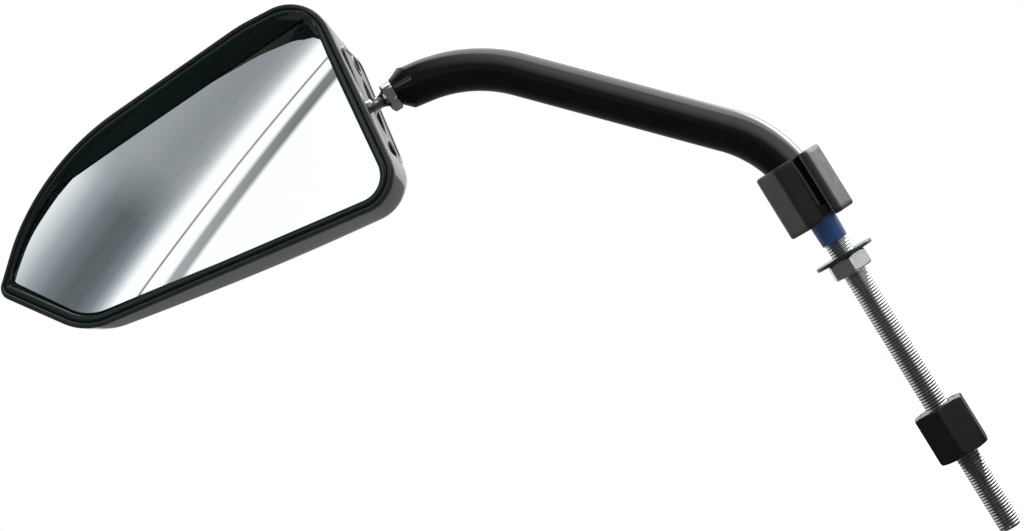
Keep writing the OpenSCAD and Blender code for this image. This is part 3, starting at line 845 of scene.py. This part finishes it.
class MIRROR_OT_socket(bpy.types.Operator):
    """Builds the socket's cover plate with its slot, its lip and its sunk screw holes"""

    bl_idname = "mirror.socket"
    bl_label = "Add socket cover"

    def execute(self, context):
        behind = COVER_X - COVER_THICK
        plate = box_shape(49, 34, 6, COVER_MIDDLE)
        rows = [(behind, 0.3), (behind + 0.3, 0), (COVER_X - 0.5, 0), (COVER_X - 0.15, 0.15)]
        rows += [(COVER_X, 0.5), (COVER_X, 1.3), (COVER_X - 0.1, 1.6), (COVER_X - 0.35, 1.8)]
        obj = slab("socket_cover_plate", plate, rows)
        combine(obj, slab("ring", disc_shape(8.4), ((-0.4, 0), (behind + 0.5, 0))), "UNION")
        top = COVER_X - 0.05
        for side in (-1, 1):
            rows = ((behind + 0.5, 0), (top - 0.35, 0), (top, 0.5))
            combine(obj, slab("boss", disc_shape(5.2, side * SCREW_REACH), rows), "UNION")
        nothing()
        bpy.ops.mesh.primitive_uv_sphere_add(
            segments=64, ring_count=32, radius=BALL_CLEAR * MM, location=BALL
        )
        combine(obj, bpy.context.object, "DIFFERENCE")
        slot = slot_shape(*SLOT_SIZE)
        rows = ((0, 0), (COVER_X - 0.75, 0), (COVER_X - 0.3, -0.4), (COVER_X + 1, -0.5))
        combine(obj, slab("slot", slot, rows), "DIFFERENCE")
        for side in (-1, 1):
            place = side * SCREW_REACH
            rows = ((-2, 0), (COVER_X + 1, 0))
            combine(obj, slab("hole", disc_shape(SCREW_HOLE, place), rows), "DIFFERENCE")
            rows = ((COVER_X - 1.6, 0), (COVER_X - 0.5, 0), (COVER_X + 1, -0.8))
            combine(obj, slab("sink", disc_shape(SCREW_SINK, place), rows), "DIFFERENCE")
        smooth(obj, 35)
        seat(obj, "head", FINISHES["cover"], "cover_plastic", "socket_cover")
        return {"FINISHED"}


# The arm


ARM_HIGH = 18.2
ARM_DEEP = 16.4
ARM_ROOT = 8.2
ARM_LEAN = 43.3
END_LEAN = 82.0
BEND_1 = 50.0
BEND_2 = 60.0
ARM_SIDES = 56
ARM_CORNER_1 = Vector((0, 181.4))
ARM_LENGTH = 128.7
END_REACH = 32.2
ARM_Z = 150.6
SEAT_RADIUS = 6.3
# How far behind the tip the taper starts: below, more at the sides, more at the top
TAPER_BACK = (3.6, 4.2, 1.4)


def arm_stations():
    lean, end = math.radians(ARM_LEAN), math.radians(END_LEAN)
    corner_2 = ARM_CORNER_1 + ARM_LENGTH * Vector((-math.sin(lean), math.cos(lean)))
    tip = corner_2 + END_REACH * Vector((-1, 1 / math.tan(end)))
    reach_1 = BEND_1 * math.tan(lean / 2)
    reach_2 = BEND_2 * math.tan((end - lean) / 2)
    stations = [(0, ARM_Z, 0, 0), (0, ARM_CORNER_1.y - reach_1 - 3, 0, 0)]
    steps = 24
    for k in range(steps + 1):
        a = lean * k / steps
        x = -BEND_1 * (1 - math.cos(a))
        z = ARM_CORNER_1.y - reach_1 + BEND_1 * math.sin(a)
        grown = min(1, 0.3 + k / steps)
        stations.append((x, z, a, grown))
    start = corner_2 + reach_2 * Vector((math.sin(lean), -math.cos(lean)))
    begin = Vector(stations[-1][:2])
    for k in range(1, 12):
        p = begin.lerp(start, k / 12)
        stations.append((p.x, p.y, lean, 1))
    middle = start - BEND_2 * Vector((math.cos(lean), math.sin(lean)))
    for k in range(steps + 1):
        a = lean + (end - lean) * k / steps
        stations.append((middle.x + BEND_2 * math.cos(a), middle.y + BEND_2 * math.sin(a), a, 1))
    return stations, tip


def taper_rings(tip):
    """The tapered end: a curved edge, further back at the sides, down to a round seat."""
    straight = END_REACH / math.sin(math.radians(END_LEAN))
    straight -= BEND_2 * math.tan(math.radians(END_LEAN - ARM_LEAN) / 2)
    angles = [-2 * math.pi * i / ARM_SIDES for i in range(ARM_SIDES)]
    below, beside, above = TAPER_BACK
    rings = []
    for more in (0.35, 0):
        points = []
        for w in angles:
            rise = ARM_HIGH / 2 * math.cos(w)
            back = below + beside * abs(math.sin(w)) + above * max(0, math.cos(w))
            back = min(straight * 0.96, back) + more
            z = tip.y - back / math.tan(math.radians(END_LEAN)) + rise
            points.append(Vector((tip.x + back, ARM_DEEP / 2 * math.sin(w), z)) * MM)
        rings.append(points)
    seat_ring = [
        Vector((tip.x + 0.3, SEAT_RADIUS * math.sin(w), tip.y + SEAT_RADIUS * math.cos(w))) * MM
        for w in angles
    ]
    for k in (0.035, 0.35, 0.7, 0.97, 1):
        rings.append([a.lerp(b, k) for a, b in zip(rings[1], seat_ring)])
    inner = SEAT_RADIUS - 0.3
    rings.append(
        [Vector((tip.x, inner * math.sin(w), tip.y + inner * math.cos(w))) * MM for w in angles]
    )
    return rings


def arm_ring(station):
    x, z, lean, grown = station
    high = ARM_ROOT + (ARM_HIGH / 2 - ARM_ROOT) * grown
    deep = ARM_ROOT + (ARM_DEEP / 2 - ARM_ROOT) * grown
    points = []
    for i in range(ARM_SIDES):
        w = -2 * math.pi * i / ARM_SIDES
        out = high * math.cos(w)
        points.append(
            Vector((x + out * math.cos(lean), deep * math.sin(w), z + out * math.sin(lean))) * MM
        )
    return points


class MIRROR_OT_arm(bpy.types.Operator):
    """Extrudes the bent arm from its round root to its tapered end"""

    bl_idname = "mirror.arm"
    bl_label = "Add arm"

    def execute(self, context):
        stations, tip = arm_stations()
        root = Vector((0, 0, ARM_Z)) * MM
        rings = [arm_ring(s) for s in stations] + taper_rings(tip)
        obj = loft("arm", rings, root, Vector((tip.x, 0, tip.y)) * MM)
        smooth(obj, 35)
        seat(obj, "arm_body", FINISHES["enamel"], "black_enamel", "arm")
        return {"FINISHED"}


class MIRROR_OT_stud(bpy.types.Operator):
    """Turns the ball stud: ball, waisted neck, chamfered hexagonal collar and shank"""

    bl_idname = "mirror.stud"
    bl_label = "Add ball stud"

    def execute(self, context):
        rows = []
        for k in range(1, 31):
            a = math.radians(154 * k / 30)
            rows.append((-6 * math.cos(a), 6 * math.sin(a), 0))
        rows += [(5.75, 2.6, 0), (7.7, 2.6, 0), (8.6, 2.7, 0), (9.5, 2.95, 0), (10.3, 3.4, 0)]
        rows += [(10.75, 3.8, 0), (10.9, 4.2, 0), (10.9, 5.2, 0)]
        rows += [(10.93 + 1.07 * k / 5, 5.4 + 1.6 * k / 5, 12) for k in range(6)]
        rows += [(15.1, 7, 12), (15.5, 6.3, 12), (15.8, 5.7, 12), (15.8, 4, 0), (28.8, 4, 0)]
        obj = turned("ball_stud_turned", rows, BALL, closed=False, lying=True)
        smooth(obj, 28)
        seat(obj, "arm_body", FINISHES["bright"], "bright_steel", "ball_stud")
        return {"FINISHED"}


# The stem


# Turn of the capped nut and its cap, in degrees
CAP_TURN = 18.5


class MIRROR_OT_stem(bpy.types.Operator):
    """Screws a thread profile up the stem, cuts it to length and chamfers its end"""

    bl_idname = "mirror.stem"
    bl_label = "Add threaded stem"

    def execute(self, context):
        sizes = stem_sizes()
        pitch, crest = sizes.pitch, sizes.radius
        root = crest - sizes.depth
        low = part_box("stem")[0]
        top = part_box("arm_lock_nut")[0].z
        profile = [
            (crest, 0),
            (crest, pitch * 0.14),
            (root, pitch * 0.46),
            (root, pitch * 0.60),
            (crest, pitch * 0.92),
            (crest, pitch),
        ]
        nothing()
        bpy.ops.mesh.primitive_circle_add(vertices=len(profile), radius=0.01)
        obj = bpy.context.object
        obj.name = obj.data.name = "threaded_stem"
        start = low.z - 2 * pitch
        for vertex, (r, z) in zip(obj.data.vertices, profile):
            vertex.co = (r, 0, start + z)
        bpy.ops.object.mode_set(mode="EDIT")
        bpy.ops.mesh.select_all(action="DESELECT")
        mesh = bmesh.from_edit_mesh(obj.data)
        for edge in mesh.edges:
            if abs(edge.verts[0].co.z - edge.verts[1].co.z) > pitch * 0.95:
                edge.select_set(True)
        bpy.ops.mesh.delete(type="EDGE")
        bpy.ops.object.mode_set(mode="OBJECT")
        screw = obj.modifiers.new("thread", "SCREW")
        screw.axis = "Z"
        screw.screw_offset = pitch
        screw.iterations = int((top - start) / pitch) + 3
        screw.steps = screw.render_steps = 36
        screw.use_merge_vertices = True
        screw.merge_threshold = 0.00001
        apply_all(obj)
        tidy(obj, 0.00001)
        bpy.ops.object.mode_set(mode="EDIT")
        for z, way in ((low.z, -1), (top, 1)):
            bpy.ops.mesh.select_all(action="SELECT")
            bpy.ops.mesh.bisect(
                plane_co=(0, 0, z), plane_no=(0, 0, way), use_fill=True, clear_outer=True
            )
        mesh = bmesh.from_edit_mesh(obj.data)
        chamfer = sizes.chamfer
        for vertex in mesh.verts:
            reach = crest - chamfer + (vertex.co.z - low.z)
            radius = math.hypot(vertex.co.x, vertex.co.y)
            if radius > reach:
                vertex.co.x *= reach / radius
                vertex.co.y *= reach / radius
        bmesh.update_edit_mesh(obj.data)
        bpy.ops.object.mode_set(mode="OBJECT")
        smooth(obj, 24)
        seat(obj, "arm_body", FINISHES["steel"], "plated_steel", "stem")
        return {"FINISHED"}


class MIRROR_OT_boot(bpy.types.Operator):
    """Lofts the split rubber boot round the arm's root"""

    bl_idname = "mirror.boot"
    bl_label = "Add boot"

    OUTER_POINTS = 96
    INNER_POINTS = 48

    def execute(self, context):
        low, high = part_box("arm_boot")
        base, top = millimetres(low.z), millimetres(high.z)
        levels = [(0, 0.9), (0.25, 0.35), (0.9, 0)]
        tall = top - base
        levels += [(tall * k / 12, 0) for k in range(1, 12)]
        levels += [(tall - 1.1, 0), (tall - 0.45, 0.3), (tall, 1.1)]
        rings = [self.section(base + z, z / tall, inset) for z, inset in levels]
        obj = loft("boot", rings)
        only(obj)
        bpy.ops.object.mode_set(mode="EDIT")
        bpy.ops.mesh.select_all(action="SELECT")
        bpy.ops.mesh.region_to_loop()
        bpy.ops.mesh.edge_face_add()
        bpy.ops.object.mode_set(mode="OBJECT")
        self.fill_ends(obj, low.z, high.z)
        tidy(obj)
        smooth(obj, 50)
        seat(obj, "arm_body", FINISHES["rubber"], "boot_rubber", "arm_boot")
        return {"FINISHED"}

    def fill_ends(self, obj, low, high):
        only(obj)
        bpy.ops.object.mode_set(mode="EDIT")
        mesh = bmesh.from_edit_mesh(obj.data)
        for level in (low, high):
            bpy.ops.mesh.select_all(action="DESELECT")
            for edge in mesh.edges:
                if edge.is_boundary and all(abs(v.co.z - level) < 0.00001 for v in edge.verts):
                    edge.select_set(True)
            if any(edge.select for edge in mesh.edges):
                bpy.ops.mesh.edge_face_add()
            mesh = bmesh.from_edit_mesh(obj.data)
        bpy.ops.object.mode_set(mode="OBJECT")

    def slit(self, share):
        """Left and right edge of the slit at a level."""
        return -0.8 + share, 4.6

    def hexagon(self, inset):
        flats = millimetres(stem_sizes().boot_flats)
        corner = flats / 2 / math.cos(math.pi / 6)
        corners = [
            Vector((corner * math.cos(k * math.pi / 3), corner * math.sin(k * math.pi / 3)))
            for k in range(6)
        ]
        points = []
        for i in range(6):
            arc = corner_arc(corners[i - 1], corners[i], corners[(i + 1) % 6], 2.4, inset)
            points.extend(arc)
        return points

    def between(self, points, start, end, count):
        """Even points along a closed outline, from angle start round left to angle end."""
        fine = []
        total = len(points)
        for i in range(total):
            a, b = points[i], points[(i + 1) % total]
            steps = max(1, int((b - a).length / 0.1))
            fine.extend(a.lerp(b, k / steps) for k in range(steps))
        turn = 2 * math.pi
        span = (end - start) % turn
        chosen = sorted(
            ((math.atan2(p.y, p.x) - start) % turn, p.x, p.y)
            for p in fine
            if (math.atan2(p.y, p.x) - start) % turn <= span
        )
        run = [Vector(p[1:]) for p in chosen]
        lengths = [0.0]
        for a, b in zip(run, run[1:]):
            lengths.append(lengths[-1] + (b - a).length)
        even, j = [], 0
        for k in range(count):
            goal = lengths[-1] * k / (count - 1)
            while j < len(run) - 2 and lengths[j + 1] < goal:
                j += 1
            part = (goal - lengths[j]) / max(1e-9, lengths[j + 1] - lengths[j])
            even.append(run[j].lerp(run[j + 1], min(1, max(0, part))))
        return even

    def section(self, z, share, inset):
        left, right = self.slit(share)
        left, right = left - inset, right + inset
        outer = self.hexagon(inset)
        front = -millimetres(stem_sizes().boot_flats) / 2 + inset
        bore = ARM_ROOT + 0.05 + inset * 0.3
        circle = [
            Vector((bore * math.cos(k * math.pi / 90), bore * math.sin(k * math.pi / 90)))
            for k in range(180)
        ]
        around = self.between(
            outer, math.atan2(front, right), math.atan2(front, left), self.OUTER_POINTS
        )
        inner_left = math.atan2(-math.sqrt(bore**2 - left**2), left)
        inner_right = math.atan2(-math.sqrt(bore**2 - right**2), right)
        inside = self.between(circle, inner_right, inner_left, self.INNER_POINTS)
        inside.reverse()
        cheek_left = [around[-1].lerp(inside[0], k / 5) for k in range(1, 5)]
        cheek_right = [inside[-1].lerp(around[0], k / 5) for k in range(1, 5)]
        loop = around + cheek_left + inside + cheek_right
        return [Vector((p.x, p.y, z)) * MM for p in loop]


class MIRROR_OT_hardware(bpy.types.Operator):
    """Turns the washer, the nuts, the cap and the sleeve, and finishes the hidden pieces"""

    bl_idname = "mirror.hardware"
    bl_label = "Add hardware"

    def execute(self, context):
        low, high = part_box("washer")
        tall = millimetres(high.z - low.z)
        rows = [(0, 5.3, 0), (0, 12.3, 0), (0.12, 12.55, 0), (0.4, 12.7, 0)]
        rows += [(tall - 0.4, 12.7, 0), (tall - 0.12, 12.55, 0), (tall, 12.3, 0), (tall, 5.3, 0)]
        self.add("washer_disc", rows, low.z, 0, "washer_body", "washer", "black_washer", "washer")
        low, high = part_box("jam_nut")
        rows = self.nut_rows(16, millimetres(high.z - low.z), 0.9, 5.05)
        self.add("zinc_nut", rows, low.z, 30, "nut", "zinc", "bright_zinc", "jam_nut")
        low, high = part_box("base_nut")
        rows = self.nut_rows(16, millimetres(high.z - low.z), 0.9, 5.05)
        self.add(
            "capped_nut", rows, low.z, CAP_TURN, "lower_nut", "screw", "plated_steel", "base_nut"
        )
        low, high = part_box("arm_lock_nut")
        rows = self.nut_rows(14, millimetres(high.z - low.z), 0.8, 5.02)
        self.add("lock_nut", rows, low.z, 0, "arm_body", "screw", "bright_zinc", "arm_lock_nut")
        low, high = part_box("nut_cap")
        rows = self.cap_rows(millimetres(high.z - low.z))
        self.add(
            "nut_cap_moulding", rows, low.z, CAP_TURN, "lower_nut", "cap", "cap_plastic", "nut_cap"
        )
        low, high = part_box("thread_collar")
        tall = millimetres(high.z - low.z)
        rows = [(0, 5.02, 0), (0, 5.25, 0), (0.08, 5.42, 0), (0.35, 5.6, 0), (tall / 2, 5.78, 0)]
        rows += [(tall, 5.95, 0), (tall, 5.02, 0)]
        self.add(
            "blue_sleeve", rows, low.z, 0, "arm_body", "collar", "blue_collar", "thread_collar"
        )
        for node, finish in (
            ("ball_seat", "nylon"),
            ("pressure_cup", "spring"),
            ("pressure_spring", "spring"),
            ("spring_holder", "holder"),
            ("holder_nuts", "zinc"),
            ("cover_screws", "screw"),
        ):
            data = frame["nodes"][node].data
            data.materials.clear()
            data.materials.append(FINISHES[finish])
        return {"FINISHED"}

    def add(self, name, rows, level, turn, body, finish, slot, node):
        obj = turned(name, rows, (0, 0, level), math.radians(turn))
        smooth(obj, 28)
        seat(obj, body, FINISHES[finish], slot, node)

    def nut_rows(self, flats, tall, chamfer, bore):
        corner = flats / 2 / math.cos(math.pi / 6)
        slope = [(chamfer * k / 6, corner - chamfer * 1.7 * (1 - k / 6)) for k in range(7)]
        rows = [(0, bore + 0.7, 0)] + [(z, r, flats) for z, r in slope]
        rows += [(tall - z, r, flats) for z, r in reversed(slope)]
        return rows + [(tall, bore + 0.7, 0), (tall - 0.7, bore, 0), (0.7, bore, 0)]

    def cap_rows(self, tall):
        flats, mouth = 21, 16.04
        corner = flats / 2 / math.cos(math.pi / 6)
        rows = [(0, 5.3, 0)]
        for k in range(9):
            a = math.pi / 2 * k / 8
            rows.append((2.2 * (1 - math.cos(a)), corner - 3.4 + 3.4 * math.sin(a), flats))
        rows += [(tall - 0.8, corner, flats), (tall - 0.4, corner - 0.5, flats)]
        rows += [(tall - 0.1, corner - 1.2, flats), (tall, corner - 1.7, flats)]
        rows += [(tall, 99, mouth), (tall - 8, 99, mouth), (tall - 8, 5.3, 0)]
        return rows


# The stage


TARGET = Vector((-0.117, 0, 0.1947))
DISTANCE = 1.097
ROLL = math.radians(31.5)
ELEVATION = math.radians(-1.5)
LENS = 94.92
# The card that the glass reflects, a painted reflection that only glossy rays see: its size, its
# distance, the turn of its pattern
CARD_SIZE = (0.54, 0.36)
CARD_AWAY = 0.9
CARD_TURN = (0.4406, 0.8977)
RAMP_REACH = 0.16
# Its painted pattern of reflected light and shade: distance across it in metres, and how light or
# how strong it is there
UPPER_CLOUD = (
    (-0.009, 1),
    (-0.005, 0.87),
    (0.0, 0.62),
    (0.006, 0.45),
    (0.014, 0.34),
    (0.028, 0.285),
    (0.045, 0.275),
    (0.09, 0.35),
)
LOWER_CLOUD = (
    (-0.008, 1),
    (0.0, 0.65),
    (0.006, 0.40),
    (0.015, 0.22),
    (0.03, 0.135),
    (0.05, 0.12),
    (0.075, 0.19),
    (0.1, 0.37),
    (0.13, 0.78),
)
STRIPE_EDGES = ((-0.0597, 0), (-0.0547, 1), (-0.045, 0.95), (-0.0405, 0))
STRIPE_LEAN = 0.0195
THIN_LINE = ((-0.0276, 0), (-0.0268, 1), (-0.0254, 1), (-0.0246, 0))
# The floor in polished faces: low and high strength, from this far in front to this far behind
FLOOR_SHADE = (0.03, 0.24, -0.2, 1.2)
# The sky in polished faces, brightest wins: a direction, then low and high strength from this
# much towards it to this much. Behind the part, to its right, above the arm and at its bend.
SKY_SHADES = (
    ((0, 1, 0), (0.09, 0.85, -0.1, 0.4)),
    ((0.94, -0.2, 0.26), (0.0, 1.0, 0.35, 0.8)),
    ((0.684, 0.34, 0.645), (0.0, 2.5, 0.7, 0.84)),
    ((0.815, 0.497, 0.298), (0.0, 7.0, 0.92, 0.985)),
)


def glow(name, colour, strength):
    material = bpy.data.materials.new(name)
    material.use_nodes = True
    nodes = material.node_tree.nodes
    nodes.clear()
    out = nodes.new("ShaderNodeOutputMaterial")
    light = nodes.new("ShaderNodeEmission")
    light.inputs["Color"].default_value = (*colour, 1)
    light.inputs["Strength"].default_value = strength
    material.node_tree.links.new(light.outputs["Emission"], out.inputs["Surface"])
    return material


class MIRROR_OT_stage(bpy.types.Operator):
    """Sets the floor, the sky, the lamps, the card and the camera"""

    bl_idname = "mirror.stage"
    bl_label = "Set the stage"

    def execute(self, context):
        scene = bpy.context.scene
        scene.view_settings.view_transform = "Standard"
        self.add_floor()
        self.add_sky(scene)
        self.add_lamps()
        self.add_card()
        self.add_camera(scene)
        return {"FINISHED"}

    def add_floor(self):
        nothing()
        bpy.ops.mesh.primitive_plane_add(size=12, location=(0, 0, -0.3))
        floor = bpy.context.object
        floor.name = "floor"
        material, nodes, links, shader = new_material("pale floor")
        out = next(node for node in nodes if node.type == "OUTPUT_MATERIAL")
        shader.inputs["Base Color"].default_value = (0.85, 0.85, 0.85, 1)
        shader.inputs["Roughness"].default_value = 0.9
        path = nodes.new("ShaderNodeLightPath")
        seen = nodes.new("ShaderNodeMath")
        seen.operation = "MAXIMUM"
        links.new(path.outputs["Is Camera Ray"], seen.inputs[0])
        white = nodes.new("ShaderNodeMath")
        white.operation = "MULTIPLY"
        white.inputs[1].default_value = 0.6
        links.new(seen.outputs[0], white.inputs[0])
        shader.inputs["Emission Color"].default_value = (1, 1, 1, 1)
        links.new(white.outputs[0], shader.inputs["Emission Strength"])
        place = nodes.new("ShaderNodeTexCoord")
        split = nodes.new("ShaderNodeSeparateXYZ")
        links.new(place.outputs["Object"], split.inputs[0])
        mirrored = nodes.new("ShaderNodeEmission")
        shade = ranged(nodes, links, split.outputs["Y"], *FLOOR_SHADE)
        links.new(shade, mirrored.inputs["Strength"])
        choose = nodes.new("ShaderNodeMixShader")
        links.new(path.outputs["Is Glossy Ray"], choose.inputs["Fac"])
        links.new(shader.outputs["BSDF"], choose.inputs[1])
        links.new(mirrored.outputs["Emission"], choose.inputs[2])
        links.new(choose.outputs["Shader"], out.inputs["Surface"])
        floor.data.materials.append(material)

    def add_sky(self, scene):
        """White to the camera; to polished faces dark, but for the light areas of SKY_SHADES."""
        world = bpy.data.worlds.new("studio")
        scene.world = world
        world.use_nodes = True
        nodes, links = world.node_tree.nodes, world.node_tree.links
        nodes.clear()
        out = nodes.new("ShaderNodeOutputWorld")
        sky = nodes.new("ShaderNodeBackground")
        path = nodes.new("ShaderNodeLightPath")
        place = nodes.new("ShaderNodeTexCoord")
        total = None
        for axis, shade in SKY_SHADES:
            toward = nodes.new("ShaderNodeVectorMath")
            toward.operation = "DOT_PRODUCT"
            links.new(place.outputs["Generated"], toward.inputs[0])
            toward.inputs[1].default_value = axis
            value = ranged(nodes, links, toward.outputs["Value"], *shade)
            if total:
                brighter = nodes.new("ShaderNodeMath")
                brighter.operation = "MAXIMUM"
                links.new(total, brighter.inputs[0])
                links.new(value, brighter.inputs[1])
                value = brighter.outputs[0]
            total = value
        choose = nodes.new("ShaderNodeMixRGB")
        links.new(path.outputs["Is Glossy Ray"], choose.inputs["Fac"])
        choose.inputs["Color1"].default_value = (0.75, 0.75, 0.75, 1)
        links.new(total, choose.inputs["Color2"])
        camera = nodes.new("ShaderNodeMixRGB")
        links.new(path.outputs["Is Camera Ray"], camera.inputs["Fac"])
        links.new(choose.outputs["Color"], camera.inputs["Color1"])
        camera.inputs["Color2"].default_value = (1, 1, 1, 1)
        links.new(camera.outputs["Color"], sky.inputs["Color"])
        links.new(sky.outputs["Background"], out.inputs["Surface"])

    def add_lamps(self):
        for name, place, aim, size, power in (
            ("key", (-0.5, -1.2, 1.6), (-0.1, 0, 0.2), 1.2, 14),
            ("right", (1.4, -0.5, 0.9), (0, 0, 0.2), 0.8, 9),
            ("back", (0.2, 1.4, 1.2), (-0.1, 0, 0.2), 1.2, 10),
        ):
            nothing()
            bpy.ops.object.light_add(type="AREA", location=place)
            lamp = bpy.context.object
            lamp.name = name
            lamp.data.size = size
            lamp.data.energy = power
            lamp.visible_glossy = name == "back"
            lamp.rotation_euler = (Vector(aim) - Vector(place)).to_track_quat("-Z", "Y").to_euler()

    def add_card(self):
        """The card that the glass reflects, seen only by glossy rays: a painted reflection, white,
        with a grey cloud of painted shade, a thin dark line and a stripe.
        """
        middle = to_row((*GLASS_MIDDLE, glass_z(*GLASS_MIDDLE, 0)))
        slope_x, slope_y = GLASS_SLOPE
        normal = (to_row((slope_x, slope_y, 1)) - to_row((0, 0, 0))).normalized()
        eye = TARGET + self.back() * DISTANCE
        ray = (middle - eye).normalized()
        bounce = ray - normal * (2 * ray.dot(normal))
        across = Vector((0, 0, 1)).cross(-bounce).normalized()
        up = (-bounce).cross(across)
        nothing()
        bpy.ops.mesh.primitive_plane_add(size=1)
        card = bpy.context.object
        card.name = "card"
        turn = Matrix((across, up, -bounce)).transposed().to_4x4()
        place = Matrix.Translation(middle + bounce * CARD_AWAY)
        card.matrix_world = place @ turn @ Matrix.Diagonal((*CARD_SIZE, 1, 1))
        card.data.materials.append(self.painted_reflection_glow())
        card.visible_camera = False
        card.visible_diffuse = False
        card.visible_shadow = False

    def painted_reflection_glow(self):
        # A glowing sheet that paints the reflection in the glass: white, with painted grey shade, a
        # dark line and a stripe
        material = glow("painted reflection card", (1, 1, 1), 1.06)
        nodes, links = material.node_tree.nodes, material.node_tree.links
        place = nodes.new("ShaderNodeTexCoord")
        scaled = nodes.new("ShaderNodeMapping")
        scaled.inputs["Scale"].default_value = (*CARD_SIZE, 1)
        links.new(place.outputs["Object"], scaled.inputs["Vector"])
        split = nodes.new("ShaderNodeSeparateXYZ")
        links.new(scaled.outputs["Vector"], split.inputs[0])
        x, y = split.outputs["X"], split.outputs["Y"]
        less, more = CARD_TURN
        across = self.sum_of(nodes, links, x, less, y, more)
        along = self.sum_of(nodes, links, x, more, y, -less)
        upper = self.ramp(nodes, links, across, UPPER_CLOUD, 0.1)
        lower = self.ramp(nodes, links, across, LOWER_CLOUD, 0.16)
        turn = self.ramp(nodes, links, along, ((0.005, 0), (0.075, 1)))
        colour = self.blend(nodes, links, turn, upper, lower)
        leaning = self.sum_of(nodes, links, across, 1, along, STRIPE_LEAN)
        band = self.ramp(nodes, links, leaning, STRIPE_EDGES)
        inside = self.ramp(nodes, links, along, ((-0.15, 0.19), (0.0, 0.31), (0.12, 0.37)), 0.06)
        colour = self.blend(nodes, links, band, colour, inside)
        line = self.ramp(nodes, links, across, THIN_LINE)
        colour = self.blend(nodes, links, line, colour, (0.05, 0.055, 0.06, 1))
        emission = next(node for node in nodes if node.type == "EMISSION")
        links.new(colour, emission.inputs["Color"])
        return material

    def sum_of(self, nodes, links, first, a, second, b):
        scaled = nodes.new("ShaderNodeMath")
        scaled.operation = "MULTIPLY"
        links.new(second, scaled.inputs[0])
        scaled.inputs[1].default_value = b
        total = nodes.new("ShaderNodeMath")
        total.operation = "MULTIPLY_ADD"
        links.new(first, total.inputs[0])
        total.inputs[1].default_value = a
        links.new(scaled.outputs[0], total.inputs[2])
        return total.outputs[0]

    def ramp(self, nodes, links, value, stops, cool=0.0):
        """A ramp over distances within reach either way, cooler where it is darker."""
        span = nodes.new("ShaderNodeMapRange")
        span.inputs["From Min"].default_value = -RAMP_REACH
        span.inputs["From Max"].default_value = RAMP_REACH
        links.new(value, span.inputs["Value"])
        ramp = nodes.new("ShaderNodeValToRGB")
        elements = ramp.color_ramp.elements
        while len(elements) < len(stops):
            elements.new(0.5)
        for element, (distance, level) in zip(elements, stops):
            element.position = 0.5 + distance / (2 * RAMP_REACH)
            shift = cool * (1 - level)
            element.color = (level * (1 - shift), level, level * (1 + shift * 0.6), 1)
        links.new(span.outputs["Result"], ramp.inputs["Fac"])
        return ramp.outputs["Color"]

    def blend(self, nodes, links, factor, low, high):
        mix = nodes.new("ShaderNodeMixRGB")
        links.new(factor, mix.inputs["Fac"])
        for name, value in (("Color1", low), ("Color2", high)):
            if isinstance(value, tuple):
                mix.inputs[name].default_value = value
            else:
                links.new(value, mix.inputs[name])
        return mix.outputs["Color"]

    def back(self):
        return Vector((0, -math.cos(ELEVATION), math.sin(ELEVATION)))

    def add_camera(self, scene):
        nothing()
        back = self.back()
        forward = -back
        right = forward.cross(Vector((0, 0, 1))).normalized()
        up = right.cross(forward)
        turned_right = right * math.cos(ROLL) - up * math.sin(ROLL)
        turned_up = right * math.sin(ROLL) + up * math.cos(ROLL)
        turn = Matrix((turned_right, turned_up, back)).transposed()
        bpy.ops.object.camera_add(location=TARGET + back * DISTANCE, rotation=turn.to_euler())
        camera = bpy.context.object
        camera.name = "camera"
        camera.data.sensor_width = 36
        camera.data.lens = LENS
        camera.data.clip_start = 0.01
        camera.data.clip_end = 50
        scene.camera = camera


STEPS = [
    MIRROR_OT_finishes,
    MIRROR_OT_shell,
    MIRROR_OT_tray,
    MIRROR_OT_glass,
    MIRROR_OT_socket,
    MIRROR_OT_arm,
    MIRROR_OT_stud,
    MIRROR_OT_stem,
    MIRROR_OT_boot,
    MIRROR_OT_hardware,
    MIRROR_OT_stage,
]


class MIRROR_PT_panel(bpy.types.Panel):
    """The steps that build the mirror, in order"""

    bl_idname = "MIRROR_PT_panel"
    bl_label = "Motorcycle mirror"
    bl_space_type = "VIEW_3D"
    bl_region_type = "UI"
    bl_category = "Mirror"

    def draw(self, context):
        for step in STEPS:
            self.layout.operator(step.bl_idname)
        for name, group in GROUPS.items():
            box = self.layout.box()
            for prop in group.__annotations__:
                box.prop(getattr(context.scene, name), prop)


def register():
    for name, group in GROUPS.items():
        bpy.utils.register_class(group)
        setattr(bpy.types.Scene, name, bpy.props.PointerProperty(type=group))
    for step in [*STEPS, MIRROR_PT_panel]:
        bpy.utils.register_class(step)


def unregister():
    for step in reversed([*STEPS, MIRROR_PT_panel]):
        bpy.utils.unregister_class(step)
    for name, group in GROUPS.items():
        delattr(bpy.types.Scene, name)
        bpy.utils.unregister_class(group)


def main():
    register()
    for step in STEPS:
        area, verb = step.bl_idname.split(".")
        getattr(getattr(bpy.ops, area), verb)()


if __name__ == "__main__":
    main()
